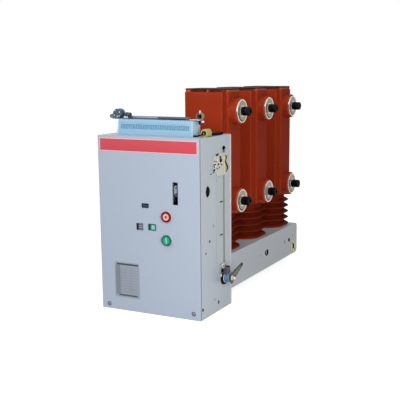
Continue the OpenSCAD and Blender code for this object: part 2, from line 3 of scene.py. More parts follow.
import bmesh
import bpy
import numpy as np
from mathutils import Matrix, Vector


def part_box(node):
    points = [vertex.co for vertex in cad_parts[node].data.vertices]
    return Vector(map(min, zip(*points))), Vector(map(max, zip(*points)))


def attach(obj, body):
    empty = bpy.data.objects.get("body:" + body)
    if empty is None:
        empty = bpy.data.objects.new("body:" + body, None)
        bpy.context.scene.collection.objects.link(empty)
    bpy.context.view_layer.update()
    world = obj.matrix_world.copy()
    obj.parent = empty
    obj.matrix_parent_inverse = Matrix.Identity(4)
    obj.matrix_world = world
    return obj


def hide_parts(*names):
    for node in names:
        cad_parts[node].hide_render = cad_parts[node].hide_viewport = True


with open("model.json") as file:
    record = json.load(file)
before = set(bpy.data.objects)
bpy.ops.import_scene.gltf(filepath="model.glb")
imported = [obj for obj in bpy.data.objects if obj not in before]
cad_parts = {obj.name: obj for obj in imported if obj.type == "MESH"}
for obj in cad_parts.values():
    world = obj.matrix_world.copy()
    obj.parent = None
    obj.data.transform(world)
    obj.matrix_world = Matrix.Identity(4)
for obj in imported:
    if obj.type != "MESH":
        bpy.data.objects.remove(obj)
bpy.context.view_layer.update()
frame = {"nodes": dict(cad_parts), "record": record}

# Everything below is worked out in millimetres and put into the meshes in metres.
MM = 0.001


def corners(node):
    """Lowest and highest corner of a CAD node, in millimetres."""
    low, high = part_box(node)
    return np.array(low) / MM, np.array(high) / MM


PANEL_LOW, PANEL_HIGH = corners("front_panel")
SHELL_LOW, SHELL_HIGH = corners("housing_shell")
BEAM_LOW, BEAM_HIGH = corners("base_beam")
LEFT, RIGHT = PANEL_LOW[0], PANEL_HIGH[0]
FRONT, REAR = PANEL_LOW[1], SHELL_HIGH[1]
BOTTOM, TOP = PANEL_LOW[2], PANEL_HIGH[2]

# Camera and light

# Camera of the photograph: place in metres, lens in millimetres on the sensor's width
CAMERA_PLACE = (1.094, -2.335, 0.655)
CAMERA_RIGHT = (0.90608, 0.42310, -0.00006)
CAMERA_UP = (-0.07528, 0.16135, 0.98402)
CAMERA_LENS = 69.04
CAMERA_SHIFT = (-0.105, 0.0293)
SENSOR_WIDTH = 36.0
FLOOR_Z = -0.0302
FLOOR_TONE = (0.58, 0.58, 0.58, 1.0)
FLOOR_GLOW = 0.84
WORLD_TONE = (0.93, 0.96, 1.0, 1.0)
WORLD_LIGHT = 0.33
# Area lamps as name, place, target, width and height in metres, and watts
LAMPS = [("key", (-1.5, -3.0, 1.9), (0.0, -0.2, 0.3), (1.6, 2.2), 45.0),
         ("side", (0.86, -1.22, 0.42), (0.12, -0.42, 0.22), (0.4, 0.6), 5.2),
         ("top", (0.3, -0.6, 2.6), (0.0, 0.0, 0.3), (2.0, 2.0), 12.0),
         ("strip", (1.45, -1.45, 0.45), (0.07, 0.0, 0.40), (0.04, 1.6), 2.4)]


def add_camera():
    """The camera that sees the object as the photograph does."""
    data = bpy.data.cameras.new("photo_camera")
    data.lens = CAMERA_LENS
    data.sensor_width = SENSOR_WIDTH
    data.shift_x, data.shift_y = CAMERA_SHIFT
    data.clip_end = 60.0
    camera = bpy.data.objects.new("photo_camera", data)
    right, up = Vector(CAMERA_RIGHT).normalized(), Vector(CAMERA_UP).normalized()
    back = right.cross(up)
    turn = Matrix((right, up, back)).transposed().to_4x4()
    camera.matrix_world = Matrix.Translation(CAMERA_PLACE) @ turn
    bpy.context.collection.objects.link(camera)
    bpy.context.scene.camera = camera


def seen_directly(nodes, links):
    """Mask of the rays that come from the camera, a glossy surface or glass."""
    path = nodes.new("ShaderNodeLightPath")
    first = nodes.new("ShaderNodeMath")
    second = nodes.new("ShaderNodeMath")
    first.operation = second.operation = "MAXIMUM"
    links.new(path.outputs["Is Camera Ray"], first.inputs[0])
    links.new(path.outputs["Is Glossy Ray"], first.inputs[1])
    links.new(first.outputs[0], second.inputs[0])
    links.new(path.outputs["Is Transmission Ray"], second.inputs[1])
    return second.outputs[0]


def add_world():
    """A soft even surround that the camera sees as white."""
    world = bpy.data.worlds.new("studio")
    bpy.context.scene.world = world
    world.use_nodes = True
    nodes, links = world.node_tree.nodes, world.node_tree.links
    nodes.clear()
    soft = nodes.new("ShaderNodeBackground")
    soft.inputs["Color"].default_value = WORLD_TONE
    soft.inputs["Strength"].default_value = WORLD_LIGHT
    white = nodes.new("ShaderNodeBackground")
    white.inputs["Color"].default_value = (1.0, 1.0, 1.0, 1.0)
    mix = nodes.new("ShaderNodeMixShader")
    links.new(seen_directly(nodes, links), mix.inputs[0])
    links.new(soft.outputs[0], mix.inputs[1])
    links.new(white.outputs[0], mix.inputs[2])
    out = nodes.new("ShaderNodeOutputWorld")
    links.new(mix.outputs[0], out.inputs["Surface"])


def add_lamp(name, place, target, size, power):
    """A soft white area lamp at place, turned to target."""
    data = bpy.data.lights.new(name, "AREA")
    data.shape = "RECTANGLE"
    data.size, data.size_y = size
    data.energy = power
    lamp = bpy.data.objects.new(name, data)
    lamp.location = place
    lamp.rotation_euler = (Vector(target) - Vector(place)).to_track_quat("-Z", "Y").to_euler()
    bpy.context.collection.objects.link(lamp)


def add_floor():
    """White floor below the box: it takes the shadow, and adds a glow that only the camera sees."""
    bpy.ops.mesh.primitive_plane_add(size=40.0, location=(0, 0, FLOOR_Z))
    floor = bpy.context.object
    floor.name = "studio_floor"
    material = bpy.data.materials.new("floor_white")
    material.use_nodes = True
    nodes, links = material.node_tree.nodes, material.node_tree.links
    shader = nodes["Principled BSDF"]
    shader.inputs["Base Color"].default_value = FLOOR_TONE
    shader.inputs["Roughness"].default_value = 0.9
    shader.inputs["Specular IOR Level"].default_value = 0.0
    glow = nodes.new("ShaderNodeEmission")
    glow.inputs["Strength"].default_value = FLOOR_GLOW
    dark = nodes.new("ShaderNodeEmission")
    dark.inputs["Strength"].default_value = 0.0
    choice = nodes.new("ShaderNodeMixShader")
    total = nodes.new("ShaderNodeAddShader")
    links.new(seen_directly(nodes, links), choice.inputs[0])
    links.new(dark.outputs[0], choice.inputs[1])
    links.new(glow.outputs[0], choice.inputs[2])
    links.new(shader.outputs[0], total.inputs[0])
    links.new(choice.outputs[0], total.inputs[1])
    links.new(total.outputs[0], nodes["Material Output"].inputs["Surface"])
    floor.data.materials.append(material)


add_camera()
add_world()
add_floor()
for lamp_row in LAMPS:
    add_lamp(*lamp_row)

# Materials


def tone(red, green, blue):
    """Linear colour of an sRGB colour written from 0 to 255."""
    value = np.array([red, green, blue]) / 255.0
    linear = np.where(value <= 0.04045, value / 12.92, ((value + 0.055) / 1.055) ** 2.4)
    return (*linear.tolist(), 1.0)


def new_group(name, inputs, outputs):
    """An empty shader node group with named sockets, and its input and output nodes."""
    tree = bpy.data.node_groups.new(name, "ShaderNodeTree")
    for label, kind, value in inputs:
        socket = tree.interface.new_socket(label, in_out="INPUT", socket_type=kind)
        socket.default_value = value
    for label, kind in outputs:
        tree.interface.new_socket(label, in_out="OUTPUT", socket_type=kind)
    return tree, tree.nodes.new("NodeGroupInput"), tree.nodes.new("NodeGroupOutput")


def math_node(tree, operation, first, second=None, clamp=False):
    """A Math node; first and second are sockets or numbers."""
    node = tree.nodes.new("ShaderNodeMath")
    node.operation = operation
    node.use_clamp = clamp
    for socket, value in zip(node.inputs, (first, second)):
        if isinstance(value, bpy.types.NodeSocket):
            tree.links.new(value, socket)
        elif value is not None:
            socket.default_value = value
    return node.outputs[0]


def noise_node(tree, vector, scale, detail=3.0, rough=0.55):
    """Noise that is read at vector; scale is a socket or a number."""
    node = tree.nodes.new("ShaderNodeTexNoise")
    node.inputs["Detail"].default_value = detail
    node.inputs["Roughness"].default_value = rough
    tree.links.new(vector, node.inputs["Vector"])
    if isinstance(scale, bpy.types.NodeSocket):
        tree.links.new(scale, node.inputs["Scale"])
    else:
        node.inputs["Scale"].default_value = scale
    return node.outputs["Fac"]


def mix_colour(tree, factor, first, second):
    """A colour mix; first and second are sockets or colours."""
    node = tree.nodes.new("ShaderNodeMix")
    node.data_type = "RGBA"
    sockets = [s for s in node.inputs if s.type == "RGBA"]
    tree.links.new(factor, [s for s in node.inputs if s.name == "Factor" and s.type == "VALUE"][0])
    for socket, value in zip(sockets, (first, second)):
        if isinstance(value, bpy.types.NodeSocket):
            tree.links.new(value, socket)
        else:
            socket.default_value = value
    return [s for s in node.outputs if s.type == "RGBA"][0]


def build_mottle_group():
    """Colour that wanders slowly over the surface, and a mask that does the same for gloss."""
    tree, given, result = new_group(
        "mottle",
        [("Vector", "NodeSocketVector", (0, 0, 0)), ("Colour", "NodeSocketColor", (1, 1, 1, 1)),
         ("Scale", "NodeSocketFloat", 8.0), ("Amount", "NodeSocketFloat", 0.1)],
        [("Colour", "NodeSocketColor"), ("Mask", "NodeSocketFloat")])
    broad = noise_node(tree, given.outputs["Vector"], given.outputs["Scale"], 2.0)
    fine_scale = math_node(tree, "MULTIPLY", given.outputs["Scale"], 14.0)
    fine = noise_node(tree, given.outputs["Vector"], fine_scale, 4.0, 0.65)
    both = math_node(tree, "ADD", math_node(tree, "MULTIPLY", broad, 0.65),
                     math_node(tree, "MULTIPLY", fine, 0.35))
    swing = math_node(tree, "MULTIPLY", math_node(tree, "SUBTRACT", both, 0.5), given.outputs["Amount"])
    bright = math_node(tree, "ADD", math_node(tree, "MULTIPLY", swing, 2.0), 1.0)
    scale = tree.nodes.new("ShaderNodeVectorMath")
    scale.operation = "SCALE"
    tree.links.new(given.outputs["Colour"], scale.inputs[0])
    tree.links.new(bright, scale.inputs["Scale"])
    tree.links.new(scale.outputs[0], result.inputs["Colour"])
    tree.links.new(both, result.inputs["Mask"])
    return tree


def build_grain_group():
    """Height of a sprayed or moulded surface: fine grain over a broader ripple."""
    tree, given, result = new_group(
        "grain",
        [("Vector", "NodeSocketVector", (0, 0, 0)), ("Scale", "NodeSocketFloat", 600.0)],
        [("Height", "NodeSocketFloat")])
    fine = noise_node(tree, given.outputs["Vector"], given.outputs["Scale"], 2.0)
    broad_scale = math_node(tree, "MULTIPLY", given.outputs["Scale"], 0.12)
    broad = noise_node(tree, given.outputs["Vector"], broad_scale, 1.0)
    height = math_node(tree, "ADD", fine, math_node(tree, "MULTIPLY", broad, 1.6))
    tree.links.new(height, result.inputs["Height"])
    return tree


def build_brushed_group():
    """Fine lines left by brushing or turning: noise drawn out along one direction."""
    tree, given, result = new_group(
        "brushed",
        [("Vector", "NodeSocketVector", (0, 0, 0)),
         ("Stretch", "NodeSocketVector", (40.0, 1500.0, 1500.0))],
        [("Lines", "NodeSocketFloat")])
    drawn = tree.nodes.new("ShaderNodeVectorMath")
    drawn.operation = "MULTIPLY"
    tree.links.new(given.outputs["Vector"], drawn.inputs[0])
    tree.links.new(given.outputs["Stretch"], drawn.inputs[1])
    tree.links.new(noise_node(tree, drawn.outputs[0], 1.0, 2.0), result.inputs["Lines"])
    return tree


def build_dust_group():
    """Dust mask: thicker where the surface looks up, broken up by noise."""
    tree, given, result = new_group(
        "dust",
        [("Vector", "NodeSocketVector", (0, 0, 0)), ("Amount", "NodeSocketFloat", 0.2)],
        [("Mask", "NodeSocketFloat")])
    geometry = tree.nodes.new("ShaderNodeNewGeometry")
    parts = tree.nodes.new("ShaderNodeSeparateXYZ")
    tree.links.new(geometry.outputs["Normal"], parts.inputs[0])
    up = math_node(tree, "POWER", math_node(tree, "MAXIMUM", parts.outputs["Z"], 0.0), 2.0)
    cloud = noise_node(tree, given.outputs["Vector"], 30.0, 5.0, 0.7)
    broken = math_node(tree, "MULTIPLY", up, cloud)
    tree.links.new(math_node(tree, "MULTIPLY", broken, given.outputs["Amount"], True),
                   result.inputs["Mask"])
    return tree


def build_inside_group():
    """Mask that is 1 at points between two corners and 0 outside: where painted shade darkens the inside of
    a box.
    """
    tree, given, result = new_group(
        "inside_of",
        [("Vector", "NodeSocketVector", (0, 0, 0)), ("Low", "NodeSocketVector", (0, 0, 0)),
         ("High", "NodeSocketVector", (1, 1, 1))],
        [("Mask", "NodeSocketFloat")])
    masks = []
    for name, operation in (("Low", "GREATER_THAN"), ("High", "LESS_THAN")):
        point = tree.nodes.new("ShaderNodeSeparateXYZ")
        limit = tree.nodes.new("ShaderNodeSeparateXYZ")
        tree.links.new(given.outputs["Vector"], point.inputs[0])
        tree.links.new(given.outputs[name], limit.inputs[0])
        masks += [math_node(tree, operation, point.outputs[axis], limit.outputs[axis]) for axis in "XYZ"]
    total = masks[0]
    for mask in masks[1:]:
        total = math_node(tree, "MULTIPLY", total, mask)
    tree.links.new(total, result.inputs["Mask"])
    return tree


def build_edge_glint_group():
    """Mask of outer edges for a painted highlight along them: it grows with how far the surface bends."""
    tree, _, result = new_group("edge_glint", [], [("Mask", "NodeSocketFloat")])
    bend = tree.nodes.new("ShaderNodeNewGeometry").outputs["Pointiness"]
    above = math_node(tree, "MULTIPLY", math_node(tree, "SUBTRACT", bend, 0.516), 15.0, True)
    tree.links.new(math_node(tree, "MULTIPLY", above, 0.75), result.inputs["Mask"])
    return tree


EDGE_GLINT_MASK = build_edge_glint_group()
MOTTLE = build_mottle_group()
GRAIN = build_grain_group()
BRUSHED = build_brushed_group()
DUST = build_dust_group()
INSIDE = build_inside_group()
# Near black for the insides of the box and beam: painted shade.
INSIDE_SHADE_COLOUR = (0.004, 0.004, 0.0045, 1.0)
BUMP_HEIGHT = 0.6 * MM


def use_group(tree, group, **inputs):
    """Places a node group in a material; inputs are sockets or values."""
    node = tree.nodes.new("ShaderNodeGroup")
    node.node_tree = group
    for label, value in inputs.items():
        if isinstance(value, bpy.types.NodeSocket):
            tree.links.new(value, node.inputs[label])
        else:
            node.inputs[label].default_value = value
    return node


def painted_foot_shade(tree, place, base, from_z, to_z, share):
    """Painted shade near the foot: the colour falls smoothly to a share of itself from to_z down to from_z.
    """
    parts = tree.nodes.new("ShaderNodeSeparateXYZ")
    ramp = tree.nodes.new("ShaderNodeMapRange")
    ramp.interpolation_type = "SMOOTHSTEP"
    tree.links.new(place, parts.inputs[0])
    tree.links.new(parts.outputs["Z"], ramp.inputs["Value"])
    for label, value in (("From Min", from_z), ("From Max", to_z), ("To Min", share), ("To Max", 1.0)):
        ramp.inputs[label].default_value = value
    scale = tree.nodes.new("ShaderNodeVectorMath")
    scale.operation = "SCALE"
    tree.links.new(base, scale.inputs[0])
    tree.links.new(ramp.outputs["Result"], scale.inputs["Scale"])
    return scale.outputs[0]


def finish(name, colour, rough, rough_swing=0.06, metal=0.0, specular=0.5, coat=0.0, coat_rough=0.1,
           cloud=7.0, amount=0.06, grain=700.0, bump=0.05, dust=0.15, dust_colour=(0.62, 0.60, 0.57, 1.0),
           brushed=None, inside=None, painted_low_shade=None, edge_glint_colour=None):
    """One surface finish: wandering colour, uneven gloss, grain or brushed lines, dust on top faces, and
    where asked a painted edge highlight, painted shade towards the foot and painted shade inside.
    """
    material = bpy.data.materials.new(name)
    material.use_nodes = True
    tree = material.node_tree
    shader = tree.nodes["Principled BSDF"]
    place = tree.nodes.new("ShaderNodeTexCoord").outputs["Object"]
    mottle = use_group(tree, MOTTLE, Vector=place, Colour=colour, Scale=cloud, Amount=amount)
    base = mottle.outputs["Colour"]
    roughness = math_node(tree, "ADD",
                          math_node(tree, "MULTIPLY", mottle.outputs["Mask"], rough_swing * 2.0),
                          rough - rough_swing)
    if brushed is None:
        height = use_group(tree, GRAIN, Vector=place, Scale=grain).outputs["Height"]
    else:
        height = use_group(tree, BRUSHED, Vector=place, Stretch=brushed).outputs["Lines"]
        roughness = math_node(tree, "ADD", roughness, math_node(tree, "MULTIPLY", height, 0.12))
    if dust > 0.0:
        film = use_group(tree, DUST, Vector=place, Amount=dust).outputs["Mask"]
        base = mix_colour(tree, film, base, dust_colour)
        roughness = math_node(tree, "ADD", roughness, math_node(tree, "MULTIPLY", film, 0.4))
    # Painted highlight: outer edges and shed tips lighten towards the given colour.
    if edge_glint_colour is not None:
        base = mix_colour(tree, use_group(tree, EDGE_GLINT_MASK).outputs["Mask"], base, edge_glint_colour)
    # Painted shade: the colour darkens towards the foot.
    if painted_low_shade is not None:
        base = painted_foot_shade(tree, place, base, *painted_low_shade)
    # Painted shade: inside the given corners the colour turns near black.
    if inside is not None:
        low, high = inside
        dark = use_group(tree, INSIDE, Vector=place, Low=low, High=high).outputs["Mask"]
        base = mix_colour(tree, dark, base, INSIDE_SHADE_COLOUR)
    tree.links.new(base, shader.inputs["Base Color"])
    tree.links.new(roughness, shader.inputs["Roughness"])
    bumps = tree.nodes.new("ShaderNodeBump")
    bumps.inputs["Strength"].default_value = bump
    bumps.inputs["Distance"].default_value = BUMP_HEIGHT
    tree.links.new(height, bumps.inputs["Height"])
    tree.links.new(bumps.outputs["Normal"], shader.inputs["Normal"])
    shader.inputs["Metallic"].default_value = metal
    shader.inputs["Specular IOR Level"].default_value = specular
    shader.inputs["Coat Weight"].default_value = coat
    shader.inputs["Coat Roughness"].default_value = coat_rough
    return material


def inner(low, high, wall):
    """Corners of a box that starts wall millimetres inside another, in metres."""
    return tuple((low + wall) * MM), tuple((high - wall) * MM)


PAINT = {"rough": 0.42, "bump": 0.10, "grain": 900.0, "cloud": 3.0, "amount": 0.035}
DARK_PLASTIC = {"specular": 0.0, "amount": 0.10, "dust": 0.0, "coat": 0.05}
CLEAN_PLATE = {"specular": 0.1, "amount": 0.05, "dust": 0.0}
ZINC_BLOOM = {"amount": 0.20, "cloud": 45.0, "bump": 0.08}

# Sheet metal and castings
PANEL_PAINT = finish("panel_paint", tone(176, 187, 203), **PAINT)
# The side and beam paints turn near black inside the box and beam: painted shade.
SIDE_PAINT = finish("side_paint", tone(191, 199, 206), inside=inner(SHELL_LOW - (0, 5, 0), SHELL_HIGH, 0.8),
                    **PAINT)
BEAM_PAINT = finish("beam_paint", tone(192, 197, 202), inside=inner(BEAM_LOW, BEAM_HIGH, 2.0), **PAINT)
TRIM_PAINT = finish("trim_paint", tone(190, 196, 197), 0.40, bump=0.10, grain=900.0, amount=0.035)
# Paler than the side paint: a painted highlight along the rear edge.
EDGE_HIGHLIGHT_PALE = finish("edge_highlight_pale", tone(226, 222, 226), 0.36, amount=0.03, bump=0.05, dust=0.0)
SEAM_LILAC = finish("seam_lilac", tone(112, 106, 122), 0.6, specular=0.05, amount=0.08, dust=0.0)
# Near black for holes, slots, recesses and what is seen through them: painted shade.
HOLE_SHADE = finish("hole_shade", tone(7, 7, 8), 0.8, specular=0.0, amount=0.1, dust=0.0)
# Cast resin: painted shade darkens its foot and sheds, and a painted highlight lightens its outer edges and
# shed tips.
CAST_RED = finish("cast_resin_red", tone(164, 54, 27), 0.30, specular=0.0, coat=0.045, coat_rough=0.09,
                  painted_low_shade=(0.19, 0.26, 0.50), edge_glint_colour=tone(214, 104, 66), cloud=9.0, amount=0.16,
                  grain=420.0, bump=0.08, dust=0.05, dust_colour=(0.36, 0.14, 0.09, 1.0))
CAP_GREY = finish("cap_moulding", tone(50, 36, 38), 0.42, specular=0.0, coat=0.06, coat_rough=0.3,
                  amount=0.12, bump=0.12, dust=0.30)

# Films, plates and windows on the panel
HEADER_RED = finish("header_film", tone(212, 78, 88), 0.35, specular=0.2, amount=0.05, bump=0.02, dust=0.0)
FILM_WHITE = finish("film_pale", tone(236, 196, 202), 0.40, amount=0.03, bump=0.02, dust=0.0)
PLATE_SILVER = finish("rating_plate_metal", tone(156, 163, 175), 0.45, specular=0.2, amount=0.06, bump=0.04,
                      brushed=(60.0, 900.0, 2600.0), dust=0.0)
PLATE_COLUMN = finish("rating_plate_column", tone(130, 138, 150), 0.45, specular=0.2, amount=0.06,
                      bump=0.04, dust=0.0)
PLATE_INK = finish("plate_ink", tone(128, 136, 152), 0.5, **CLEAN_PLATE)
PLATE_DARK = finish("plate_dark_ink", tone(74, 80, 92), 0.5, **CLEAN_PLATE)
WINDOW_DARK = finish("window_dark", tone(24, 28, 46), 0.30, bump=0.02, **DARK_PLASTIC)
DIGIT_GREY = finish("digit_grey", tone(118, 128, 146), 0.5, specular=0.0, coat=0.05, amount=0.08, dust=0.0)
STATE_DARK = finish("state_frame", tone(38, 34, 56), 0.35, specular=0.0, coat=0.04, amount=0.10, dust=0.0)
STATE_FACE = finish("state_face", tone(178, 180, 198), 0.40, specular=0.1, amount=0.08, dust=0.0)
GREEN_FRAME = finish("green_frame", tone(14, 84, 70), 0.35, specular=0.0, coat=0.04, amount=0.10, dust=0.0)
GREEN_FACE = finish("green_face", tone(88, 172, 150), 0.40, specular=0.05, amount=0.08, dust=0.0)
GREEN_SIGN = finish("green_sign", tone(168, 232, 208), 0.45, specular=0.05, amount=0.05, dust=0.0)

# Push buttons, bezels and the charging lever
BUTTON_RED = finish("button_red", tone(138, 42, 46), 0.32, specular=0.0, amount=0.08, bump=0.03, dust=0.0,
                    coat=0.05)
BUTTON_RED_FACE = finish("button_red_face", tone(150, 42, 46), 0.34, bump=0.03, **DARK_PLASTIC)
BUTTON_GREEN = finish("button_green", tone(38, 120, 98), 0.32, specular=0.0, amount=0.08, bump=0.03,
                      dust=0.0, coat=0.05)
BUTTON_GREEN_FACE = finish("button_green_face", tone(72, 168, 134), 0.34, bump=0.03, **DARK_PLASTIC)
MARK_PINK = finish("mark_pale_red", tone(244, 178, 170), 0.40, amount=0.05, dust=0.0)
MARK_GREEN = finish("mark_pale_green", tone(120, 226, 184), 0.40, amount=0.05, dust=0.0)
BEZEL_PALE = finish("bezel_pale", tone(196, 200, 206), 0.36, amount=0.06, bump=0.05, dust=0.0)
LEVER_WHITE = finish("lever_white", tone(226, 228, 232), 0.36, amount=0.05, dust=0.0)
LEVER_FACE = finish("lever_face", tone(146, 152, 166), 0.36, amount=0.05, dust=0.0)
LEVER_GREY = finish("lever_grey", tone(130, 130, 137), 0.40, specular=0.1, amount=0.12, cloud=40.0,
                    bump=0.08, dust=0.0)
LEVER_DARK = finish("lever_dark", tone(60, 64, 74), 0.42, specular=0.05, amount=0.14, cloud=40.0, bump=0.08,
                    dust=0.0)

# Terminal block, its rail and clamps, and the cable ring
# Lilac grey on upward faces: dust and painted shade of the rail above.
BLOCK_BLUE = finish("block_blue", tone(160, 200, 226), 0.46, specular=0.25, amount=0.06, bump=0.08,
                    dust=0.45, dust_colour=tone(176, 168, 188))
# Darker blue for the floor of the comb's slots: painted shade.
BLOCK_SLOT_SHADE = finish("block_comb", tone(122, 184, 204), 0.5, specular=0.2, amount=0.10, bump=0.08, dust=0.0)
BLOCK_PALE = finish("block_end_pale", tone(190, 222, 236), 0.42, amount=0.06, bump=0.08, dust=0.12)
RAIL_DARK = finish("rail_dark", tone(74, 78, 86), 0.38, metal=0.5, amount=0.12, bump=0.06,
                   brushed=(50.0, 1400.0, 1400.0))
RAIL_BLUE = finish("rail_blue", tone(120, 132, 150), 0.36, metal=0.3, amount=0.16, bump=0.06)
CLAMP_BLUE = finish("clamp_blue", tone(74, 98, 114), 0.34, metal=0.25, specular=0.2, amount=0.50,
                    cloud=70.0, bump=0.14)
BLUE_STEEL = finish("blue_steel", tone(58, 66, 82), 0.34, metal=0.3, specular=0.4, amount=0.25, cloud=60.0,
                    bump=0.10)
HOOP_BROWN = finish("hoop_brown", tone(140, 118, 108), 0.34, metal=0.3, specular=0.3, amount=0.25,
                    cloud=60.0, bump=0.08)
BLACK_RUBBER = finish("black_rubber", tone(15, 16, 15), 0.60, specular=0.0, coat=0.10, coat_rough=0.3,
                      amount=0.2, bump=0.25, dust=0.05)
RING_YELLOW = finish("ring_yellow", tone(178, 172, 104), 0.5, specular=0.1, amount=0.16, bump=0.08)

# Bearings, lever and rod of the interlock
ZINC = finish("zinc_plate", tone(172, 176, 182), 0.32, metal=0.85, amount=0.16, cloud=40.0, bump=0.08)
BLUE_ZINC = finish("blue_zinc_plate", tone(104, 148, 190), 0.28, metal=0.70, amount=0.20, cloud=40.0,
                   bump=0.06)
YELLOW_ZINC = finish("yellow_zinc_plate", tone(216, 207, 168), 0.34, metal=0.35, **ZINC_BLOOM)
ROD_ZINC = finish("rod_zinc_plate", tone(136, 142, 126), 0.40, specular=0.2, **ZINC_BLOOM)
FLANGE_ZINC = finish("flange_zinc", tone(200, 200, 190), 0.34, metal=0.4, amount=0.16, cloud=45.0,
                     bump=0.08)
VIOLET_STEEL = finish("violet_steel", tone(98, 86, 102), 0.38, metal=0.1, specular=0.2, amount=0.20,
                      cloud=50.0, bump=0.08)
LEVER_STEEL = finish("lever_steel", tone(84, 88, 72), 0.42, metal=0.35, specular=0.2, amount=0.22,
                     cloud=40.0, bump=0.15)
LEVER_RIDGE = finish("lever_ridge", tone(122, 126, 110), 0.42, metal=0.2, specular=0.2, amount=0.2,
                     cloud=45.0, bump=0.1)
COPPER = finish("copper_pin", tone(160, 100, 66), 0.34, metal=0.7, amount=0.15, cloud=60.0, bump=0.06)

# Contact discs, bolts and small bright or dark parts
SILVER = finish("silver_plate", tone(226, 218, 206), 0.26, metal=0.75, amount=0.14, cloud=60.0, bump=0.10)
SILVER_FACE = finish("silver_face", tone(156, 148, 134), 0.38, metal=0.5, amount=0.22, cloud=70.0,
                     bump=0.12)
# Dark crescent inside each disc's rim: a painted shadow.
RIM_SHADOW_PAINT = finish("disc_rim_shadow", tone(72, 66, 46), 0.40, metal=0.3, specular=0.2, amount=0.25,
                   cloud=70.0, bump=0.10)
BLACK_OXIDE = finish("black_oxide", tone(11, 11, 12), 0.34, specular=0.0, coat=0.18, coat_rough=0.16,
                     amount=0.25, cloud=50.0, bump=0.10, dust=0.03)
PIN_PALE = finish("pin_pale", tone(232, 222, 222), 0.30, metal=0.4, amount=0.06, cloud=60.0, bump=0.05)
SCREW_STEEL = finish("screw_steel", tone(150, 154, 158), 0.30, metal=0.8, amount=0.15, cloud=60.0,
                     bump=0.06)
SPECK_WHITE = finish("speck_white", tone(236, 234, 230), 0.34, amount=0.05, dust=0.0)

# Surfaces

# Local frames, as rows: where local x, y and z point. Local z is the way a piece stands out.
UPRIGHT = np.eye(3)
OUT_RIGHT = np.array([[0.0, 1.0, 0.0], [0.0, 0.0, 1.0], [1.0, 0.0, 0.0]])
OUT_FRONT = np.array([[1.0, 0.0, 0.0], [0.0, 0.0, 1.0], [0.0, -1.0, 0.0]])
TO_REAR = np.array([[-1.0, 0.0, 0.0], [0.0, 0.0, 1.0], [0.0, 1.0, 0.0]])
# A direction that no tube runs along, the least radius of a turned piece, and the angle of a sharp edge
OFF_EVERY_PATH = np.array([0.31, 0.17, 0.94])
LEAST_RADIUS = 0.02
SHARP_ANGLE = np.radians(50.0)


def circle(radius, count=48):
    """Points (radius cos a, radius sin a)."""
    angle = np.linspace(0.0, 2.0 * np.pi, count, endpoint=False)
    return radius * np.stack([np.cos(angle), np.sin(angle)], axis=1)


def rounded_rectangle(width, height, radius, per_corner=7):
    """Quarter circles of the radius round four corner centres, joined by straight sides."""
    turn = np.linspace(0.0, np.pi / 2, per_corner)
    angle = np.concatenate([turn + quarter * np.pi / 2 for quarter in range(4)])
    sign_x = np.repeat([1, -1, -1, 1], per_corner)
    sign_y = np.repeat([1, 1, -1, -1], per_corner)
    return np.stack([sign_x * (width / 2 - radius) + radius * np.cos(angle),
                     sign_y * (height / 2 - radius) + radius * np.sin(angle)], axis=1)


def hexagon(reach):
    """Six corners at the reach from the centre."""
    return circle(reach, 6)


def moved_out(outline, distance):
    """Corners of a closed outline moved along their mitres: every side moves out by the distance."""
    before = outline - np.roll(outline, 1, axis=0)
    after = np.roll(outline, -1, axis=0) - outline
    normals = [np.stack([side[:, 1], -side[:, 0]], axis=1) for side in (before, after)]
    normals = [n / np.maximum(np.linalg.norm(n, axis=1, keepdims=True), 1e-9) for n in normals]
    spread = 1.0 + np.sum(normals[0] * normals[1], axis=1, keepdims=True)
    return outline + distance * (normals[0] + normals[1]) / np.maximum(spread, 0.3)


def grid_faces(rows, columns, closed=True, start=0):
    """Quads of a grid of points; when closed, the last column joins the first."""
    index = start + np.arange(rows * columns).reshape(rows, columns)
    after = np.roll(index, -1, axis=1)
    quads = np.stack([index[:-1], after[:-1], after[1:], index[1:]], axis=-1)
    if not closed:
        quads = quads[:, :-1]
    return quads.reshape(-1, 4).tolist()


def skin(rings):
    """Surface through rings of points (ring, point, 3), with a flat face on both ends."""
    rows, columns, _ = rings.shape
    ends = [list(range(columns))[::-1], list(range((rows - 1) * columns, rows * columns))]
    return rings.reshape(-1, 3), grid_faces(rows, columns) + ends


def slab(outline, low, high, edge=0.0, low_edge=0.0, steps=4):
    """The outline drawn from height low to high; its edges are rounded by quarter circles."""
    turn = np.linspace(0.0, np.pi / 2, steps + 1)
    inset, level = [0.0], [low]
    if low_edge > 0.0:
        inset = list(low_edge * (1.0 - np.sin(turn)))
        level = list(low + low_edge * (1.0 - np.cos(turn)))
    if edge > 0.0:
        inset += list(edge * (1.0 - np.cos(turn)))
        level += list(high - edge * (1.0 - np.sin(turn)))
    else:
        inset.append(0.0)
        level.append(high)
    rings = [np.column_stack([moved_out(outline, -d) if d else outline, np.full(len(outline), z)])
             for d, z in zip(inset, level)]
    return skin(np.array(rings))


def turned(profile, count=64, wave=0.0, teeth=0):
    """Revolves (radius, height) pairs; wave adds so many teeth of that depth where the radius is full."""
    profile = np.array(profile, float)
    angle = np.linspace(0.0, 2.0 * np.pi, count, endpoint=False)
    radius = np.maximum(profile[:, :1], LEAST_RADIUS)
    ribs = wave * 0.5 * (np.sign(np.cos(teeth * angle)) + 1.0) if teeth else 0.0
    radius = radius - ribs * (profile[:, 2:3] if profile.shape[1] > 2 else 1.0)
    height = np.repeat(profile[:, 1:2], count, axis=1)
    return skin(np.stack([radius * np.cos(angle), radius * np.sin(angle), height], axis=-1))


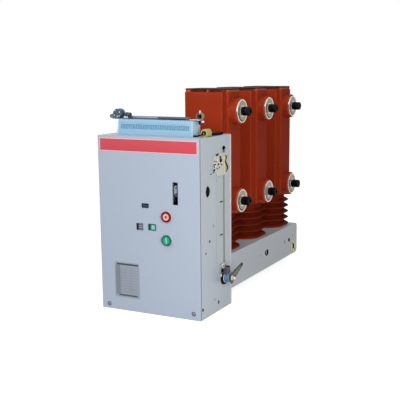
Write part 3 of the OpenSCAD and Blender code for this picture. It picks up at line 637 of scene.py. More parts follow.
def ring_band(outer, width, low, high, edge=0.4):
    """A closed frame: the outline's outer wall, top, inner wall and bottom as one closed strip."""
    hole = moved_out(outer, -width)
    walls = [(outer, low), (outer, high - edge), (moved_out(outer, -edge), high),
             (moved_out(hole, edge), high), (hole, high - edge), (hole, low)]
    rings = np.array([np.column_stack([line, np.full(len(line), z)]) for line, z in walls])
    rows, columns, _ = rings.shape
    closed = np.concatenate([rings, rings[:1]])
    faces = np.array(grid_faces(rows + 1, columns)) % (rows * columns)
    return closed[:-1].reshape(-1, 3), faces.tolist()


def tube(path, radius, count=16):
    """Circles square to a path's direction: a round tube, whose radius is a number or one per point."""
    path = np.array(path, float)
    way = np.gradient(path, axis=0)
    way /= np.linalg.norm(way, axis=1, keepdims=True)
    side = np.cross(way, OFF_EVERY_PATH)
    side /= np.linalg.norm(side, axis=1, keepdims=True)
    up = np.cross(side, way)
    angle = np.linspace(0.0, 2.0 * np.pi, count, endpoint=False)
    reach = np.broadcast_to(np.asarray(radius, float), (len(path),))[:, None, None]
    spokes = (side[:, None, :] * np.cos(angle)[None, :, None]
              + up[:, None, :] * np.sin(angle)[None, :, None])
    return skin(path[:, None, :] + reach * spokes)


def relief(columns, rows, height, back):
    """A slab with a carved face: height (row, column) over a grid, a flat back, and closed sides."""
    x, y = np.meshgrid(columns, rows)
    count = x.size
    points = np.concatenate([np.stack([x, y, height], axis=-1).reshape(-1, 3),
                             np.stack([x, y, np.full_like(x, back)], axis=-1).reshape(-1, 3)])
    index = np.arange(count).reshape(x.shape)
    front = np.stack([index[:-1, :-1], index[:-1, 1:], index[1:, 1:], index[1:, :-1]], axis=-1)
    front = front.reshape(-1, 4)
    rim = np.concatenate([index[0, :], index[1:, -1], index[-1, -2::-1], index[-2:0:-1, 0]])
    after = np.roll(rim, -1)
    sides = np.stack([rim, after, after + count, rim + count], axis=1)
    return points, np.concatenate([front, front[:, ::-1] + count, sides[:, ::-1]]).tolist()


def smooth_path(points, steps=10):
    """Catmull-Rom curve through the points."""
    points = np.array(points, float)
    padded = np.concatenate([[2 * points[0] - points[1]], points, [2 * points[-1] - points[-2]]])
    t = np.linspace(0.0, 1.0, steps, endpoint=False)[:, None]
    parts = []
    for a, b, c, d in zip(padded, padded[1:], padded[2:], padded[3:]):
        parts.append(0.5 * (2 * b + (c - a) * t + (2 * a - 5 * b + 4 * c - d) * t ** 2
                            + (3 * b - a - 3 * c + d) * t ** 3))
    return np.concatenate(parts + [points[-1:]])


def set_at(shell, origin=(0.0, 0.0, 0.0), way=UPRIGHT):
    """A shell carried from its local frame to its place on the object."""
    points, faces = shell
    return points @ way + np.array(origin, float), faces


def tilted(shell, angle_deg):
    """A shell turned about its local z axis."""
    c, s = np.cos(np.radians(angle_deg)), np.sin(np.radians(angle_deg))
    points, faces = shell
    return points @ np.array([[c, s, 0.0], [-s, c, 0.0], [0.0, 0.0, 1.0]]), faces


def placed(shell, x, y):
    """A shell moved within its face."""
    return shell[0] + (x, y, 0.0), shell[1]


def out_front(place, *shells):
    """Shells that stand out to the front from a place."""
    return [set_at(shell, place, OUT_FRONT) for shell in shells]


def out_right(place, *shells):
    """Shells that stand out to the right from a place."""
    return [set_at(shell, place, OUT_RIGHT) for shell in shells]


def tablet(width, height, corner, low, high, edge=0.0, per_corner=7):
    """A slab with a rounded rectangular outline."""
    return slab(rounded_rectangle(width, height, corner, per_corner), low, high, edge)


def finish_mesh(mesh, sharp_deg):
    """Turns all faces outwards and smooths them except over sharp edges."""
    work = bmesh.new()
    work.from_mesh(mesh)
    bmesh.ops.remove_doubles(work, verts=work.verts, dist=1e-7)
    bmesh.ops.recalc_face_normals(work, faces=work.faces)
    work.to_mesh(mesh)
    work.free()
    mesh.shade_smooth()
    mesh.set_sharp_from_angle(angle=np.radians(sharp_deg))


def register(piece, body, replaces):
    """Parents a finished piece to its body and hides the CAD nodes it replaces."""
    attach(piece, body)
    if replaces:
        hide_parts(*replaces)
    return piece


def add_piece(name, shells, material, body="breaker", replaces=(), sharp_deg=38.0):
    """Joins shells in millimetres into one object in metres at the origin."""
    points, faces, start = [], [], 0
    for shell_points, shell_faces in shells:
        points.append(shell_points)
        faces += [[index + start for index in face] for face in shell_faces]
        start += len(shell_points)
    mesh = bpy.data.meshes.new(name)
    mesh.from_pydata((np.concatenate(points) * MM).tolist(), [], faces)
    finish_mesh(mesh, sharp_deg)
    mesh.materials.append(material)
    piece = bpy.data.objects.new(name, mesh)
    bpy.context.collection.objects.link(piece)
    return register(piece, body, replaces)


def soften(node, width_mm, material, body="breaker", segments=2):
    """Stands in for a boxy CAD node with a copy of it whose edges are rounded."""
    source = frame["nodes"][node]
    mesh = source.data.copy()
    mesh.name = node + "_rounded"
    work = bmesh.new()
    work.from_mesh(mesh)
    bmesh.ops.remove_doubles(work, verts=work.verts, dist=2e-6)
    bmesh.ops.dissolve_limit(work, angle_limit=np.radians(1.0), verts=work.verts, edges=work.edges)
    bmesh.ops.recalc_face_normals(work, faces=work.faces)
    work.to_mesh(mesh)
    work.free()
    mesh.materials.clear()
    mesh.materials.append(material)
    mesh.shade_smooth()
    mesh.set_sharp_from_angle(angle=SHARP_ANGLE)
    piece = bpy.data.objects.new(node + "_rounded", mesh)
    bpy.context.collection.objects.link(piece)
    bevel = piece.modifiers.new("edges", "BEVEL")
    bevel.width = width_mm * MM
    bevel.segments = segments
    bevel.limit_method = "ANGLE"
    bevel.angle_limit = SHARP_ANGLE
    bevel.harden_normals = True
    bevel.use_clamp_overlap = True
    return register(piece, body, (node,))


# Poles: half widths, reaches and corner radii of the sections seen from above, and heights of the rings

BODY_HALF_X, BODY_HALF_Y, BODY_CORNER = 64.5, 60.0, 6.0
FOOT_HALF_X, FOOT_CORNER = 61.0, 37.0
NOSE_REACH, NOSE_HALF, NOSE_EDGE = 77.5, 43.5, 7.0
BEAM_TOP = BEAM_HIGH[2]
SHED_DEPTH, SHED_HALF, SHED_PITCH, SHED_TIP = 16.0, 9.5, 21.7, 1.0
FIRST_SHED = BEAM_TOP + 3.5
NOSE_BOTTOM = 228.0
CAP_LOW, CAP_HIGH = corners("cap_a")
SLOT_LOW, SLOT_HIGH = CAP_LOW[2] - 6.0, CAP_LOW[2]
SLOT_FLOOR_Y, SLOT_REAR_X, SLOT_RIB_X, SLOT_FRONT_X = 36.0, -43.5, 14.0, 69.0
TOP_SET_BACK = 2.6
RIB_BLEND, BODY_INSET = 3.0, 0.04
DISC_R, DISC_PROUD, KNURL_DEPTH = 35.5, 4.0, 0.45


def reach_of_rounded_box(angle, half_x, half_y, corner):
    """Distance from the centre to a rounded rectangle: its flat side, or the corner circle beside it."""
    c, s = np.abs(np.cos(angle)), np.abs(np.sin(angle))
    cx, cy = half_x - corner, half_y - corner
    to_x, to_y = half_x / np.maximum(c, 1e-9), half_y / np.maximum(s, 1e-9)
    along, across = c * cx + s * cy, c * cy - s * cx
    to_corner = along + np.sqrt(np.maximum(corner ** 2 - across ** 2, 0.0))
    return np.where(to_x * s <= cy, to_x, np.where(to_y * c <= cx, to_y, to_corner))


def reach_of_body(angle):
    """The body joined to its rib by a smooth maximum: half of a + b + sqrt((a - b)^2 + k^2)."""
    body = reach_of_rounded_box(angle, BODY_HALF_X, BODY_HALF_Y, BODY_CORNER)
    nose = reach_of_rounded_box(angle, NOSE_REACH, NOSE_HALF, NOSE_EDGE) * (np.cos(angle) > 0.0)
    return 0.5 * (body + nose + np.sqrt((body - nose) ** 2 + RIB_BLEND ** 2)) - BODY_INSET


def even_angles(reach, count, turn_weight=22.0):
    """Angles spaced by the outline's length plus its turning, so that tight corners get more points."""
    angle = np.linspace(-np.pi, np.pi, 7201)
    step = np.diff(np.stack([np.cos(angle), np.sin(angle)], axis=1) * reach(angle)[:, None], axis=0)
    heading = np.unwrap(np.arctan2(step[:, 1], step[:, 0]))
    measure = np.cumsum(np.hypot(step[1:, 0], step[1:, 1]) + turn_weight * np.abs(np.diff(heading)))
    return np.interp(np.linspace(0.0, measure[-1], count, endpoint=False), measure, angle[1:-1])


POLE_ANGLES = even_angles(reach_of_body, 190)


def outline_at(reach):
    """Points of an outline given by its reach at the pole's angles."""
    return np.stack([np.cos(POLE_ANGLES) * reach, np.sin(POLE_ANGLES) * reach], axis=1)


def shed_reach(rise):
    """How far a shed stands out at a height above its tip: a V whose tip is rounded like a hyperbola."""
    slope = np.sqrt(rise ** 2 + SHED_TIP ** 2) - SHED_TIP
    return SHED_DEPTH * (1.0 - slope / (np.sqrt(SHED_HALF ** 2 + SHED_TIP ** 2) - SHED_TIP))


def pole_levels():
    """Heights of the rings, with the sheds' reach there and how far the foot has become the body."""
    rise = np.array([-9.5, -7.0, -4.5, -2.6, -1.5, -0.7, 0.0, 0.7, 1.5, 2.6, 4.5, 7.0, 9.5])
    levels = [(BEAM_TOP, SHED_DEPTH - 1.0, 0.0), (BEAM_TOP + 0.8, SHED_DEPTH, 0.0)]
    levels += [(FIRST_SHED + r, shed_reach(r), 0.0) for r in rise[6:]]
    for k in range(1, 5):
        levels += [(FIRST_SHED + k * SHED_PITCH + r, shed_reach(r), 0.0) for r in rise]
    last = levels[-1][0]
    share = np.linspace(0.0, 1.0, 9)
    levels += [(last + 4.0 + (NOSE_BOTTOM - last) * t, 0.0, t * t * (3.0 - 2.0 * t)) for t in share]
    levels += [(z, 0.0, 1.0) for z in (300.0, 400.0, 500.0)]
    bend = np.linspace(0.0, np.pi / 2, 6)
    levels += [(SLOT_LOW - TOP_SET_BACK * (1.0 - np.sin(b)), TOP_SET_BACK * (np.cos(b) - 1.0), 1.0)
               for b in bend]
    return levels


def cast_body():
    """Skin of a pole: at each height the reach goes from the shedded foot to the ribbed body."""
    body = reach_of_body(POLE_ANGLES)
    rings = []
    for height, out, share in pole_levels():
        foot = reach_of_rounded_box(POLE_ANGLES, FOOT_HALF_X + out, BODY_HALF_Y + out, FOOT_CORNER + out)
        line = outline_at((1.0 - share) * foot + share * (body + min(out, 0.0)))
        rings.append(np.column_stack([line, np.full(len(line), height)]))
    return skin(np.array(rings))


def top_line():
    """Outline of what stands above the body's rounded shoulder."""
    return outline_at(reach_of_body(POLE_ANGLES) - TOP_SET_BACK)


def slot_posts():
    """What stands between the slots below the cap: core, rib, rear post and the rib side's post."""
    line = top_line()
    turned_line = np.roll(line, len(line) // 2, axis=0)
    front_post = line[line[:, 0] >= SLOT_FRONT_X]
    rear_post = turned_line[turned_line[:, 0] <= SLOT_REAR_X]
    core_rear = 4.0 - BODY_HALF_X
    core = rounded_rectangle(SLOT_FRONT_X + 1.0 - core_rear, 2 * SLOT_FLOOR_Y, 3.0)
    core = core + (0.5 * (SLOT_FRONT_X + 1.0 + core_rear), 0.0)
    rib = rounded_rectangle(6.0, 2 * (BODY_HALF_Y - TOP_SET_BACK) - 0.2, 0.8) + (SLOT_RIB_X, 0.0)
    return [slab(part, SLOT_LOW - 0.5, SLOT_HIGH + 0.2) for part in (front_post, rear_post, core, rib)]


def boss():
    """Round boss from inside the rib to the contact disc, with a small flare at its root."""
    return turned([(30.0, 55.0), (40.0, 60.0), (41.4, 77.0), (40.8, 78.8), (40.2, 81.4), (40.0, 85.0),
                   (40.0, 96.6), (39.7, 98.2), (38.9, 99.4), (37.6, 100.0), (0.0, 100.0)], 96)


def add_pole(letter):
    """One pole with its cap, contact discs and clamping bolts."""
    low, high = corners("pole_" + letter)
    axis_y = 0.5 * (low[1] + high[1])
    shells = [set_at(shell, (0.0, axis_y, 0.0)) for shell in [cast_body()] + slot_posts()]
    for row in ("upper", "lower"):
        disc_low, disc_high = corners(f"{row}_disc_{letter}")
        height = 0.5 * (disc_low[2] + disc_high[2])
        shells.append(set_at(boss(), (0.0, axis_y, height), OUT_RIGHT))
        add_terminal(row, letter, axis_y, height, disc_low[0])
        if row == "lower":
            ledge = slab(rounded_rectangle(60.0, height - NOSE_BOTTOM + 6.0, 7.0), 55.0, 98.0, 4.0)
            shells.append(set_at(ledge, (0.0, axis_y, 0.5 * (height + NOSE_BOTTOM) + 3.0), OUT_RIGHT))
    add_piece(f"pole_{letter}_casting", shells, CAST_RED, replaces=(f"pole_{letter}",),
              sharp_deg=30.0)
    cap = slab(moved_out(top_line(), 0.8), CAP_LOW[2], CAP_HIGH[2], 2.2, 0.4)
    add_piece(f"cap_{letter}_cover", [set_at(cap, (0.0, axis_y, 0.0))], CAP_GREY,
              replaces=(f"cap_{letter}",))


def socket_screw(radius, length, teeth=36):
    """Knurled socket screw, turned from rows of (radius, height, knurl, hexagon)."""
    r = radius
    rows = np.array([(0.0, 0.0, 0, 0), (r - 3.2, 0.0, 0, 0), (r - 3.2, 1.6, 0, 0), (r - 0.9, 1.8, 0, 0),
                     (r, 2.7, 1, 0), (r, 10.6, 1, 0), (r - 1.3, 11.2, 0, 0), (r - 1.3, 12.4, 0, 0),
                     (r, 13.0, 1, 0), (r, length - 1.6, 1, 0), (r - 1.7, length, 0, 0), (7.6, length, 0, 1),
                     (7.0, length - 0.6, 0, 1), (7.0, length - 12.0, 0, 1), (0.0, length - 13.0, 0, 1)],
                    float)
    count = teeth * 4
    angle = np.linspace(0.0, 2.0 * np.pi, count, endpoint=False)
    six = np.cos(np.pi / 6) / np.cos(np.mod(angle, np.pi / 3) - np.pi / 6)
    ribs = KNURL_DEPTH * (np.arange(count) % 4 >= 2)
    reach = np.maximum(rows[:, :1], LEAST_RADIUS) * np.where(rows[:, 3:] > 0.5, six, 1.0)
    reach = reach - rows[:, 2:3] * ribs
    height = np.repeat(rows[:, 1:2], count, axis=1)
    return skin(np.stack([reach * np.cos(angle), reach * np.sin(angle), height], axis=-1))


def crescent(radius, depth, start_deg, end_deg, count=28):
    """Outline between an arc and the same arc set back by a half sine wave."""
    share = np.linspace(0.0, 1.0, count)
    angle = np.radians(start_deg + (end_deg - start_deg) * share)
    arc = np.stack([np.cos(angle), np.sin(angle)], axis=1)
    back = (radius - 0.3 - depth * np.sin(np.pi * share))[:, None]
    return np.concatenate([radius * arc, (back * arc)[::-1]])


def add_terminal(row, letter, axis_y, height, disc_x):
    """Silver contact disc: bright rim and hub, turned face with a locating pin, a painted shadow of the rim
    on the face, and the black bolt.
    """
    place = (disc_x, axis_y, height)
    disc, bolt = f"{row}_disc_{letter}", f"{row}_bolt_{letter}"
    rim = ring_band(circle(DISC_R, 96), 3.4, 0.0, DISC_PROUD, 0.8)
    hub = ring_band(circle(17.0, 64), 3.0, 2.6, DISC_PROUD - 0.05, 0.3)
    face = turned([(0.0, 0.0), (32.2, 0.0), (32.2, 3.0), (25.5, 3.0), (25.2, 2.7), (24.6, 2.7), (24.3, 3.0),
                   (17.4, 3.0), (0.0, 3.0)], 96)
    # Painted shadow of the rim: a dark crescent on the face.
    rim_shadow = slab(crescent(31.8, 6.0, 150.0, 300.0), 2.9, 3.1)
    pin = placed(turned([(0.0, 1.0), (2.2, 1.0), (2.2, 3.5), (1.8, 3.95), (0.0, 3.95)], 20), 21.5, 17.0)
    add_piece(disc + "_rim", out_right(place, rim, hub), SILVER, replaces=(disc,))
    add_piece(disc + "_face", out_right(place, face), SILVER_FACE)
    add_piece(disc + "_shade", out_right(place, rim_shadow), RIM_SHADOW_PAINT)
    add_piece(disc + "_pin", out_right(place, pin), PIN_PALE)
    low, high = corners(bolt)
    screw = socket_screw(0.5 * (high[2] - low[2]), high[0] - low[0])
    add_piece(bolt + "_knurled", out_right((low[0], axis_y, height), screw), BLACK_OXIDE,
              replaces=(bolt,))


for pole_letter in "abc":
    add_pole(pole_letter)

# Box, front panel: places on it are measured from its lower left corner

PANEL_SCREWS = ((24.0, 14.0), (307.0, 19.0))
SCREW_R = 4.0
COUNTER_ZEROS = 0.6 + 3.3 * np.arange(-2, 3)
SLOT_WIDTH, SLOT_HEIGHT, SLOT_BELOW_LEVER = 16.2, 63.0, 6.0

soften("front_panel", 0.9, PANEL_PAINT, segments=3)
soften("housing_shell", 0.9, SIDE_PAINT, segments=3)


def front_of(node):
    """Middle of a node on the panel's face, with its width, height and depth."""
    low, high = corners(node)
    middle, (width, depth, height) = 0.5 * (low + high), high - low
    return (middle[0], FRONT, middle[2]), width, height, depth


def pan_screw(radius):
    """Low domed screw head: a circle's arc turned round its axis."""
    turn = np.linspace(0.0, np.pi / 2, 6)
    dome = [(radius * np.cos(t), 0.3 + 0.38 * radius * np.sin(t)) for t in turn]
    return turned([(0.0, 0.0), (radius, 0.0)] + dome, 32)


def cross_slot(radius, height):
    """Two thin bars that read as the cross recess of a screw."""
    recess = tablet(1.25 * radius, 0.28 * radius, 0.1 * radius, height, height + 0.05, per_corner=3)
    return recess, tilted(recess, 90.0)


def add_header():
    """Bare red band with a white border and round corners."""
    place, width, height, thick = front_of("header_strip")
    border = tablet(width, height, 2.5, 0.0, thick * 0.7, 0.15)
    band = tablet(width - 4.0, height - 4.0, 1.5, 0.0, thick, 0.15)
    add_piece("header_border", out_front(place, border), FILM_WHITE,
              replaces=("header_strip",))
    add_piece("header_band", out_front(place, band), HEADER_RED)


def add_rating_plate():
    """Bare metal plate on four rivets: a darker column, two thick rules and thin ones, and no words."""
    place, width, height, thick = front_of("rating_plate")

    def rule(rule_width, rule_height, corner, sunk, x, z):
        """A thin rule at (x, z) on the plate, sunk a little below the node's face."""
        return placed(tablet(rule_width, rule_height, corner, 0.4, thick - sunk, per_corner=3), x, z)

    plate = tablet(width, height, 2.0, 0.0, thick - 0.1, 0.25)
    column = rule(15.0, height - 18.0, 0.5, 0.07, 11.0 - 0.5 * width, 0.0)
    thin = [rule(width - 26.0, 0.7, 0.2, 0.04, 8.0, level * height)
            for level in np.linspace(-0.32, 0.28, 9)]
    thin += [rule(0.7, height - 26.0, 0.2, 0.04, x, -1.0) for x in (-20.0, 14.0)]
    broad = [rule(width - 10.0, 5.0, 0.6, 0.03, 2.0, 0.5 * height - 6.0),
             rule(width - 20.0, 4.0, 0.6, 0.03, 3.0, 6.5 - 0.5 * height)]
    dome, dome_faces = pan_screw(1.5)
    rivets = [placed((dome * (1, 1, 0.45), dome_faces), x * (0.5 * width - 3.5), z * (0.5 * height - 3.5))
              for x in (-1, 1) for z in (-1, 1)]
    add_piece("rating_plate_bare", out_front(place, plate), PLATE_SILVER,
              replaces=("rating_plate",))
    add_piece("rating_plate_column", out_front(place, column), PLATE_COLUMN)
    add_piece("rating_plate_thin_rules", out_front(place, *thin), PLATE_INK)
    add_piece("rating_plate_thick_rules", out_front(place, *broad), PLATE_DARK)
    add_piece("rating_plate_rivets", out_front(place, *rivets), SCREW_STEEL)


def add_window(node, name, frame_finish, face_finish, mark_finish, marks):
    """A framed window: closed frame, sunk face shaded on its left, and thin raised marks."""
    place, width, height, proud = front_of(node)
    width, height = width + 1.2, height + 1.6
    band = ring_band(rounded_rectangle(width, height, 1.2), 1.5, 0.0, proud, 0.3)
    shade = tablet(0.26 * width, height - 3.0, 0.2, 0.3, 0.62, per_corner=3)
    shade = placed(shade, 1.5 - 0.37 * width, 0.0)
    face = tablet(width - 2.4, height - 2.4, 0.4, 0.0, 0.5)
    add_piece(name + "_frame", out_front(place, band, shade), frame_finish, replaces=(node,))
    add_piece(name + "_face", out_front(place, face), face_finish)
    add_piece(name + "_marks", out_front(place, *marks), mark_finish)


def bar(x, z, width, height, low=0.4, high=0.7):
    """A thin bar with round ends at (x, z)."""
    return placed(tablet(width, height, 0.45 * min(width, height), low, high, per_corner=4), x, z)


def add_windows():
    """Counter with five zeros, switch state with a plain contact sign, spring state with a coil sign."""
    place = front_of("counter_window")[0]
    body = ring_band(rounded_rectangle(22.4, 12.6, 1.5), 1.6, 0.0, 1.2, 0.3)
    face = tablet(20.0, 10.0, 0.5, 0.0, 0.5)
    zero = ring_band(rounded_rectangle(2.2, 4.4, 1.0, 4), 0.5, 0.4, 0.72, 0.05)
    zeros = [placed(zero, x, 0.0) for x in COUNTER_ZEROS]
    add_piece("counter_frame", out_front(place, body, face), WINDOW_DARK,
              replaces=("counter_window",))
    add_piece("counter_digits", out_front(place, *zeros), DIGIT_GREY)
    lines = [bar(1.6, z, 13.0, 2.5) for z in (-5.6, 0.0, 5.6)]
    add_window("state_window", "state", STATE_DARK, STATE_FACE, STATE_DARK, lines)
    coil = placed(ring_band(circle(4.6, 40), 2.6, 0.4, 0.75, 0.1), 3.2, 0.0)
    add_window("spring_window", "spring", GREEN_FRAME, GREEN_FACE, GREEN_SIGN, [coil])


def add_button(name, rim_finish, face_finish, mark_finish, mark):
    """A push button: turned head with a round rim and stem, and a sunk face whose mark moves with it."""
    node, body = name + "_button", name + "_button_body"
    low, high = corners(node)
    place, width, _, _ = front_of(node)
    proud, radius, back = FRONT - low[1], 0.5 * width, FRONT - high[1]
    head = turned([(0.0, back), (5.0, back), (5.0, proud - 16.0), (radius, proud - 16.0),
                   (radius, proud - 1.6), (radius - 0.3, proud - 0.8), (radius - 0.9, proud - 0.2),
                   (radius - 1.7, proud), (radius - 2.4, proud - 0.4), (radius - 2.9, proud - 1.4),
                   (radius - 3.1, proud - 3.4), (0.0, proud - 3.5)], 72)
    face = turned([(0.0, proud - 3.8), (radius - 3.3, proud - 3.8), (radius - 3.3, proud - 3.2),
                   (radius - 5.0, proud - 3.0), (0.0, proud - 3.0)], 72)
    raised = (mark[0] + (0.0, 0.0, proud - 3.1), mark[1])
    add_piece(name + "_cap", out_front(place, head), rim_finish, body, (node,))
    add_piece(name + "_sunk_face", out_front(place, face), face_finish, body)
    add_piece(name + "_mark", out_front(place, raised), mark_finish, body)


def add_bezel(name):
    """A pale collar round a button, with its tube and inner stop behind the panel."""
    node = name + "_bezel"
    low, high = corners(node)
    place, width, _, _ = front_of(node)
    rim, proud, back = 0.5 * width, FRONT - low[1], FRONT - high[1]
    collar = ring_band(circle(rim, 72), 2.6, 0.0, proud, 0.9)
    sleeve = ring_band(circle(rim - 1.2, 72), 1.5, back, 0.4, 0.2)
    stop = ring_band(circle(rim - 2.6, 48), 10.0, back, back + 4.0, 0.2)
    add_piece(name + "_collar", out_front(place, collar, sleeve, stop), BEZEL_PALE,
              replaces=(node,))


def add_panel_screws():
    """Screws near the panel's lower corners: a dished washer and a domed head with a cross recess."""
    heads, washers, slots = [], [], []
    for x, z in PANEL_SCREWS:
        place = (LEFT + x, FRONT, BOTTOM + z)
        washers += out_front(place, ring_band(circle(6.6, 40), 2.4, 0.0, 0.9, 0.4))
        heads += out_front(place, pan_screw(SCREW_R))
        slots += out_front(place, *cross_slot(SCREW_R, 1.75))
    add_piece("panel_washers", washers, RAIL_DARK)
    add_piece("panel_screws", heads, SCREW_STEEL)
    # The cross recesses are drawn dark: painted shade.
    add_piece("panel_screw_slots", slots, HOLE_SHADE)


def add_charge_slot():
    """Dark edge of the charging lever's slot, and the lever's pale hooked lip, face and dark heel."""
    low, high = corners("charge_lever")
    (middle, _, level), _, _, _ = front_of("charge_lever")
    edge = ring_band(rounded_rectangle(SLOT_WIDTH, SLOT_HEIGHT, 1.4), 1.7, 0.0, 0.25, 0.1)
    add_piece("charge_slot_edge", out_front((middle, FRONT, level - SLOT_BELOW_LEVER), edge), STATE_DARK)
    reach, bow = 2.9, np.linspace(np.pi, 0.25, 14)
    left, top = low[0] + 1.5, high[2] - 5.4
    stem = np.array([(left, 0.0, low[2] + 9.0), (left, 0.0, low[2] + 15.0), (left, 0.0, top - 3.0)])
    hook = np.column_stack([left + reach * (1.0 + np.cos(bow)), np.zeros(14), top + reach * np.sin(bow)])
    lip = np.concatenate([stem, hook]) + (0.0, low[1] + 0.9, 0.0)
    face = tablet(4.6, 14.0, 1.4, -1.0, 0.3, 0.3)
    heel = tablet(8.6, 11.0, 1.0, -1.2, 0.2, 0.3)
    slot, body = "lever_grey", "charge_lever_body"
    add_piece("charge_lever_lip", [tube(lip, 1.0, 12)], LEVER_WHITE, body)
    add_piece("charge_lever_face", out_front((left + 4.4, low[1] + 0.4, top - 10.5), face), LEVER_FACE,
              body)
    add_piece("charge_lever_heel", out_front((middle, low[1] + 0.4, low[2] + 6.5), heel), LEVER_DARK,
              body)


add_header()
add_rating_plate()
add_windows()
add_button("open", BUTTON_RED, BUTTON_RED_FACE, MARK_PINK, ring_band(circle(9.6, 48), 6.0, 0.0, 0.5, 0.15))
add_button("close", BUTTON_GREEN, BUTTON_GREEN_FACE, MARK_GREEN,
           tilted(bar(0.0, 0.0, 4.4, 17.0, 0.0, 0.5), 6.0))
add_bezel("open")
add_bezel("close")
soften("charge_lever", 0.7, LEVER_GREY, "charge_lever_body")
soften("charge_bracket", 0.4, RAIL_DARK)
add_panel_screws()
add_charge_slot()

# Terminal block on the box

BLOCK_LOW, BLOCK_HIGH = corners("terminal_block")
BLOCK_HEIGHT, CHEEK_WIDTH = 44.0, 8.0
COMB_COUNT, COMB_LOW, COMB_HIGH = 40, 17.0, 30.0
COMB_DEPTH, HAIR_DEPTH = 4.2, 0.5
DRUM_R, HOOP_R, RING_R, CABLE_R = 14.0, 10.0, 11.4, 4.0


def block_front():
    """Carved face of the block: a comb of slots, hair grooves above them and a step below."""
    left, right = BLOCK_LOW[0] + CHEEK_WIDTH, BLOCK_HIGH[0]
    first, pitch = left + 6.0, (right - left - 12.0) / COMB_COUNT
    starts = first + pitch * np.arange(COMB_COUNT)
    offsets = np.array([-0.2, 0.2, 0.75, 0.8, pitch - 0.8, pitch - 0.75])
    columns = np.concatenate([[left, left + 1.2], (starts[:, None] + offsets).ravel(),
                              [right - 1.2, right]])
    kind = np.concatenate([[0, 0], np.tile([1, 1, 0, 2, 2, 0], COMB_COUNT), [0, 0]])
    rows = np.array([0.0, 1.0, 4.0, 4.4, 15.6, 16.2, COMB_LOW - 0.1, COMB_LOW, COMB_HIGH, COMB_HIGH + 0.1,
                     33.0, 34.0, 42.6, 43.4, BLOCK_HEIGHT])
    base = np.array([-0.8, 0.0, 0.0, -0.4, -0.4, -0.9, -0.9, -0.9, -0.9, -0.9, -0.9, 0.0, 0.0, -0.3, -0.9])
    height = np.repeat(base[:, None], len(columns), axis=1)
    in_comb = (rows >= COMB_LOW) & (rows <= COMB_HIGH)
    height[np.ix_(in_comb, kind == 2)] = -COMB_DEPTH
    height[np.ix_(rows > COMB_HIGH, kind == 1)] -= HAIR_DEPTH
    return relief(columns, rows, height, -5.4)


def add_terminal_block():
    """Block with a slanted left cheek, its carved face, the floor of its slots in a darker blue as painted
    shade, and its end plate.
    """
    origin = (0.0, BLOCK_LOW[1], TOP)
    left = BLOCK_LOW[0] + CHEEK_WIDTH
    outline = np.array([(BLOCK_LOW[0], 0.0), (BLOCK_HIGH[0], 0.0), (BLOCK_HIGH[0], BLOCK_HEIGHT),
                        (left, BLOCK_HEIGHT)])
    body = slab(outline, BLOCK_LOW[1] - BLOCK_HIGH[1], -5.2, 0.3, 0.8)
    triangle = np.array([(BLOCK_LOW[0], 0.0), (left - 0.2, 0.0), (left - 0.2, BLOCK_HEIGHT)])
    cheek = slab(triangle, -5.4, -1.2, 0.4)
    floor = tablet(BLOCK_HIGH[0] - BLOCK_LOW[0] - 20.0, COMB_HIGH - COMB_LOW, 0.2, -4.4, -3.4, per_corner=3)
    middle = (0.5 * (left + BLOCK_HIGH[0]), BLOCK_LOW[1], TOP + 0.5 * (COMB_LOW + COMB_HIGH))
    add_piece("block_body", out_front(origin, body, block_front()), BLOCK_BLUE,
              replaces=("terminal_block",))
    add_piece("block_cheek", out_front(origin, cheek), BLOCK_PALE)
    add_piece("block_comb_floor", out_front(middle, floor), BLOCK_SLOT_SHADE)
    soften("block_end_cap", 0.8, BLOCK_PALE, segments=3)


def add_rail():
    """Round rail on two feet: a dark length that meets a paler one."""
    low, high = corners("block_rail")
    middle_y, level, half = 0.5 * (low[1] + high[1]), 0.5 * (low[2] + high[2]), 0.5 * (high[2] - low[2])
    part, end = low[0] + 0.45 * (high[0] - low[0]), low[0] - 13.0
    dark = turned([(0.0, part), (half, part), (half, high[0] - 0.8), (half - 0.8, high[0]),
                   (0.0, high[0])], 32)
    pale = turned([(0.0, end), (half - 0.8, end), (half, end + 0.8), (half, part), (0.0, part)], 32)
    foot = tablet(8.0, 9.6, 1.0, 0.0, half, 0.3)
    feet = [set_at(foot, (x, middle_y, low[2])) for x in (low[0] + 8.0, high[0] - 8.0)]
    axis = (0.0, middle_y, level)
    add_piece("rail_dark", out_right(axis, dark) + feet, RAIL_DARK, replaces=("block_rail",))
    add_piece("rail_pale", out_right(axis, pale), RAIL_BLUE)


def knurled_drum(radius, length, teeth):
    """A drum with a knurled belt between two smooth rims, and a dished face with a hub."""
    rows = [(0.0, 0.0, 0), (radius - 1.4, 0.0, 0), (radius - 0.4, 1.0, 0), (radius - 0.4, 2.6, 0),
            (radius, 3.0, 1), (radius, length - 3.0, 1), (radius - 0.4, length - 2.6, 0),
            (radius - 0.4, length - 1.0, 0), (radius - 1.4, length, 0), (radius * 0.72, length, 0),
            (radius * 0.66, length - 1.6, 0), (radius * 0.34, length - 1.6, 0),
            (radius * 0.30, length - 0.2, 0), (0.0, length - 0.2, 0)]
    return turned(rows, teeth * 4, 0.7, teeth)


def tilted_up(shell, angle_deg):
    """A shell turned about its local x axis."""
    c, s = np.cos(np.radians(angle_deg)), np.sin(np.radians(angle_deg))
    points, faces = shell
    return points @ np.array([[1.0, 0.0, 0.0], [0.0, c, s], [0.0, -s, c]]), faces


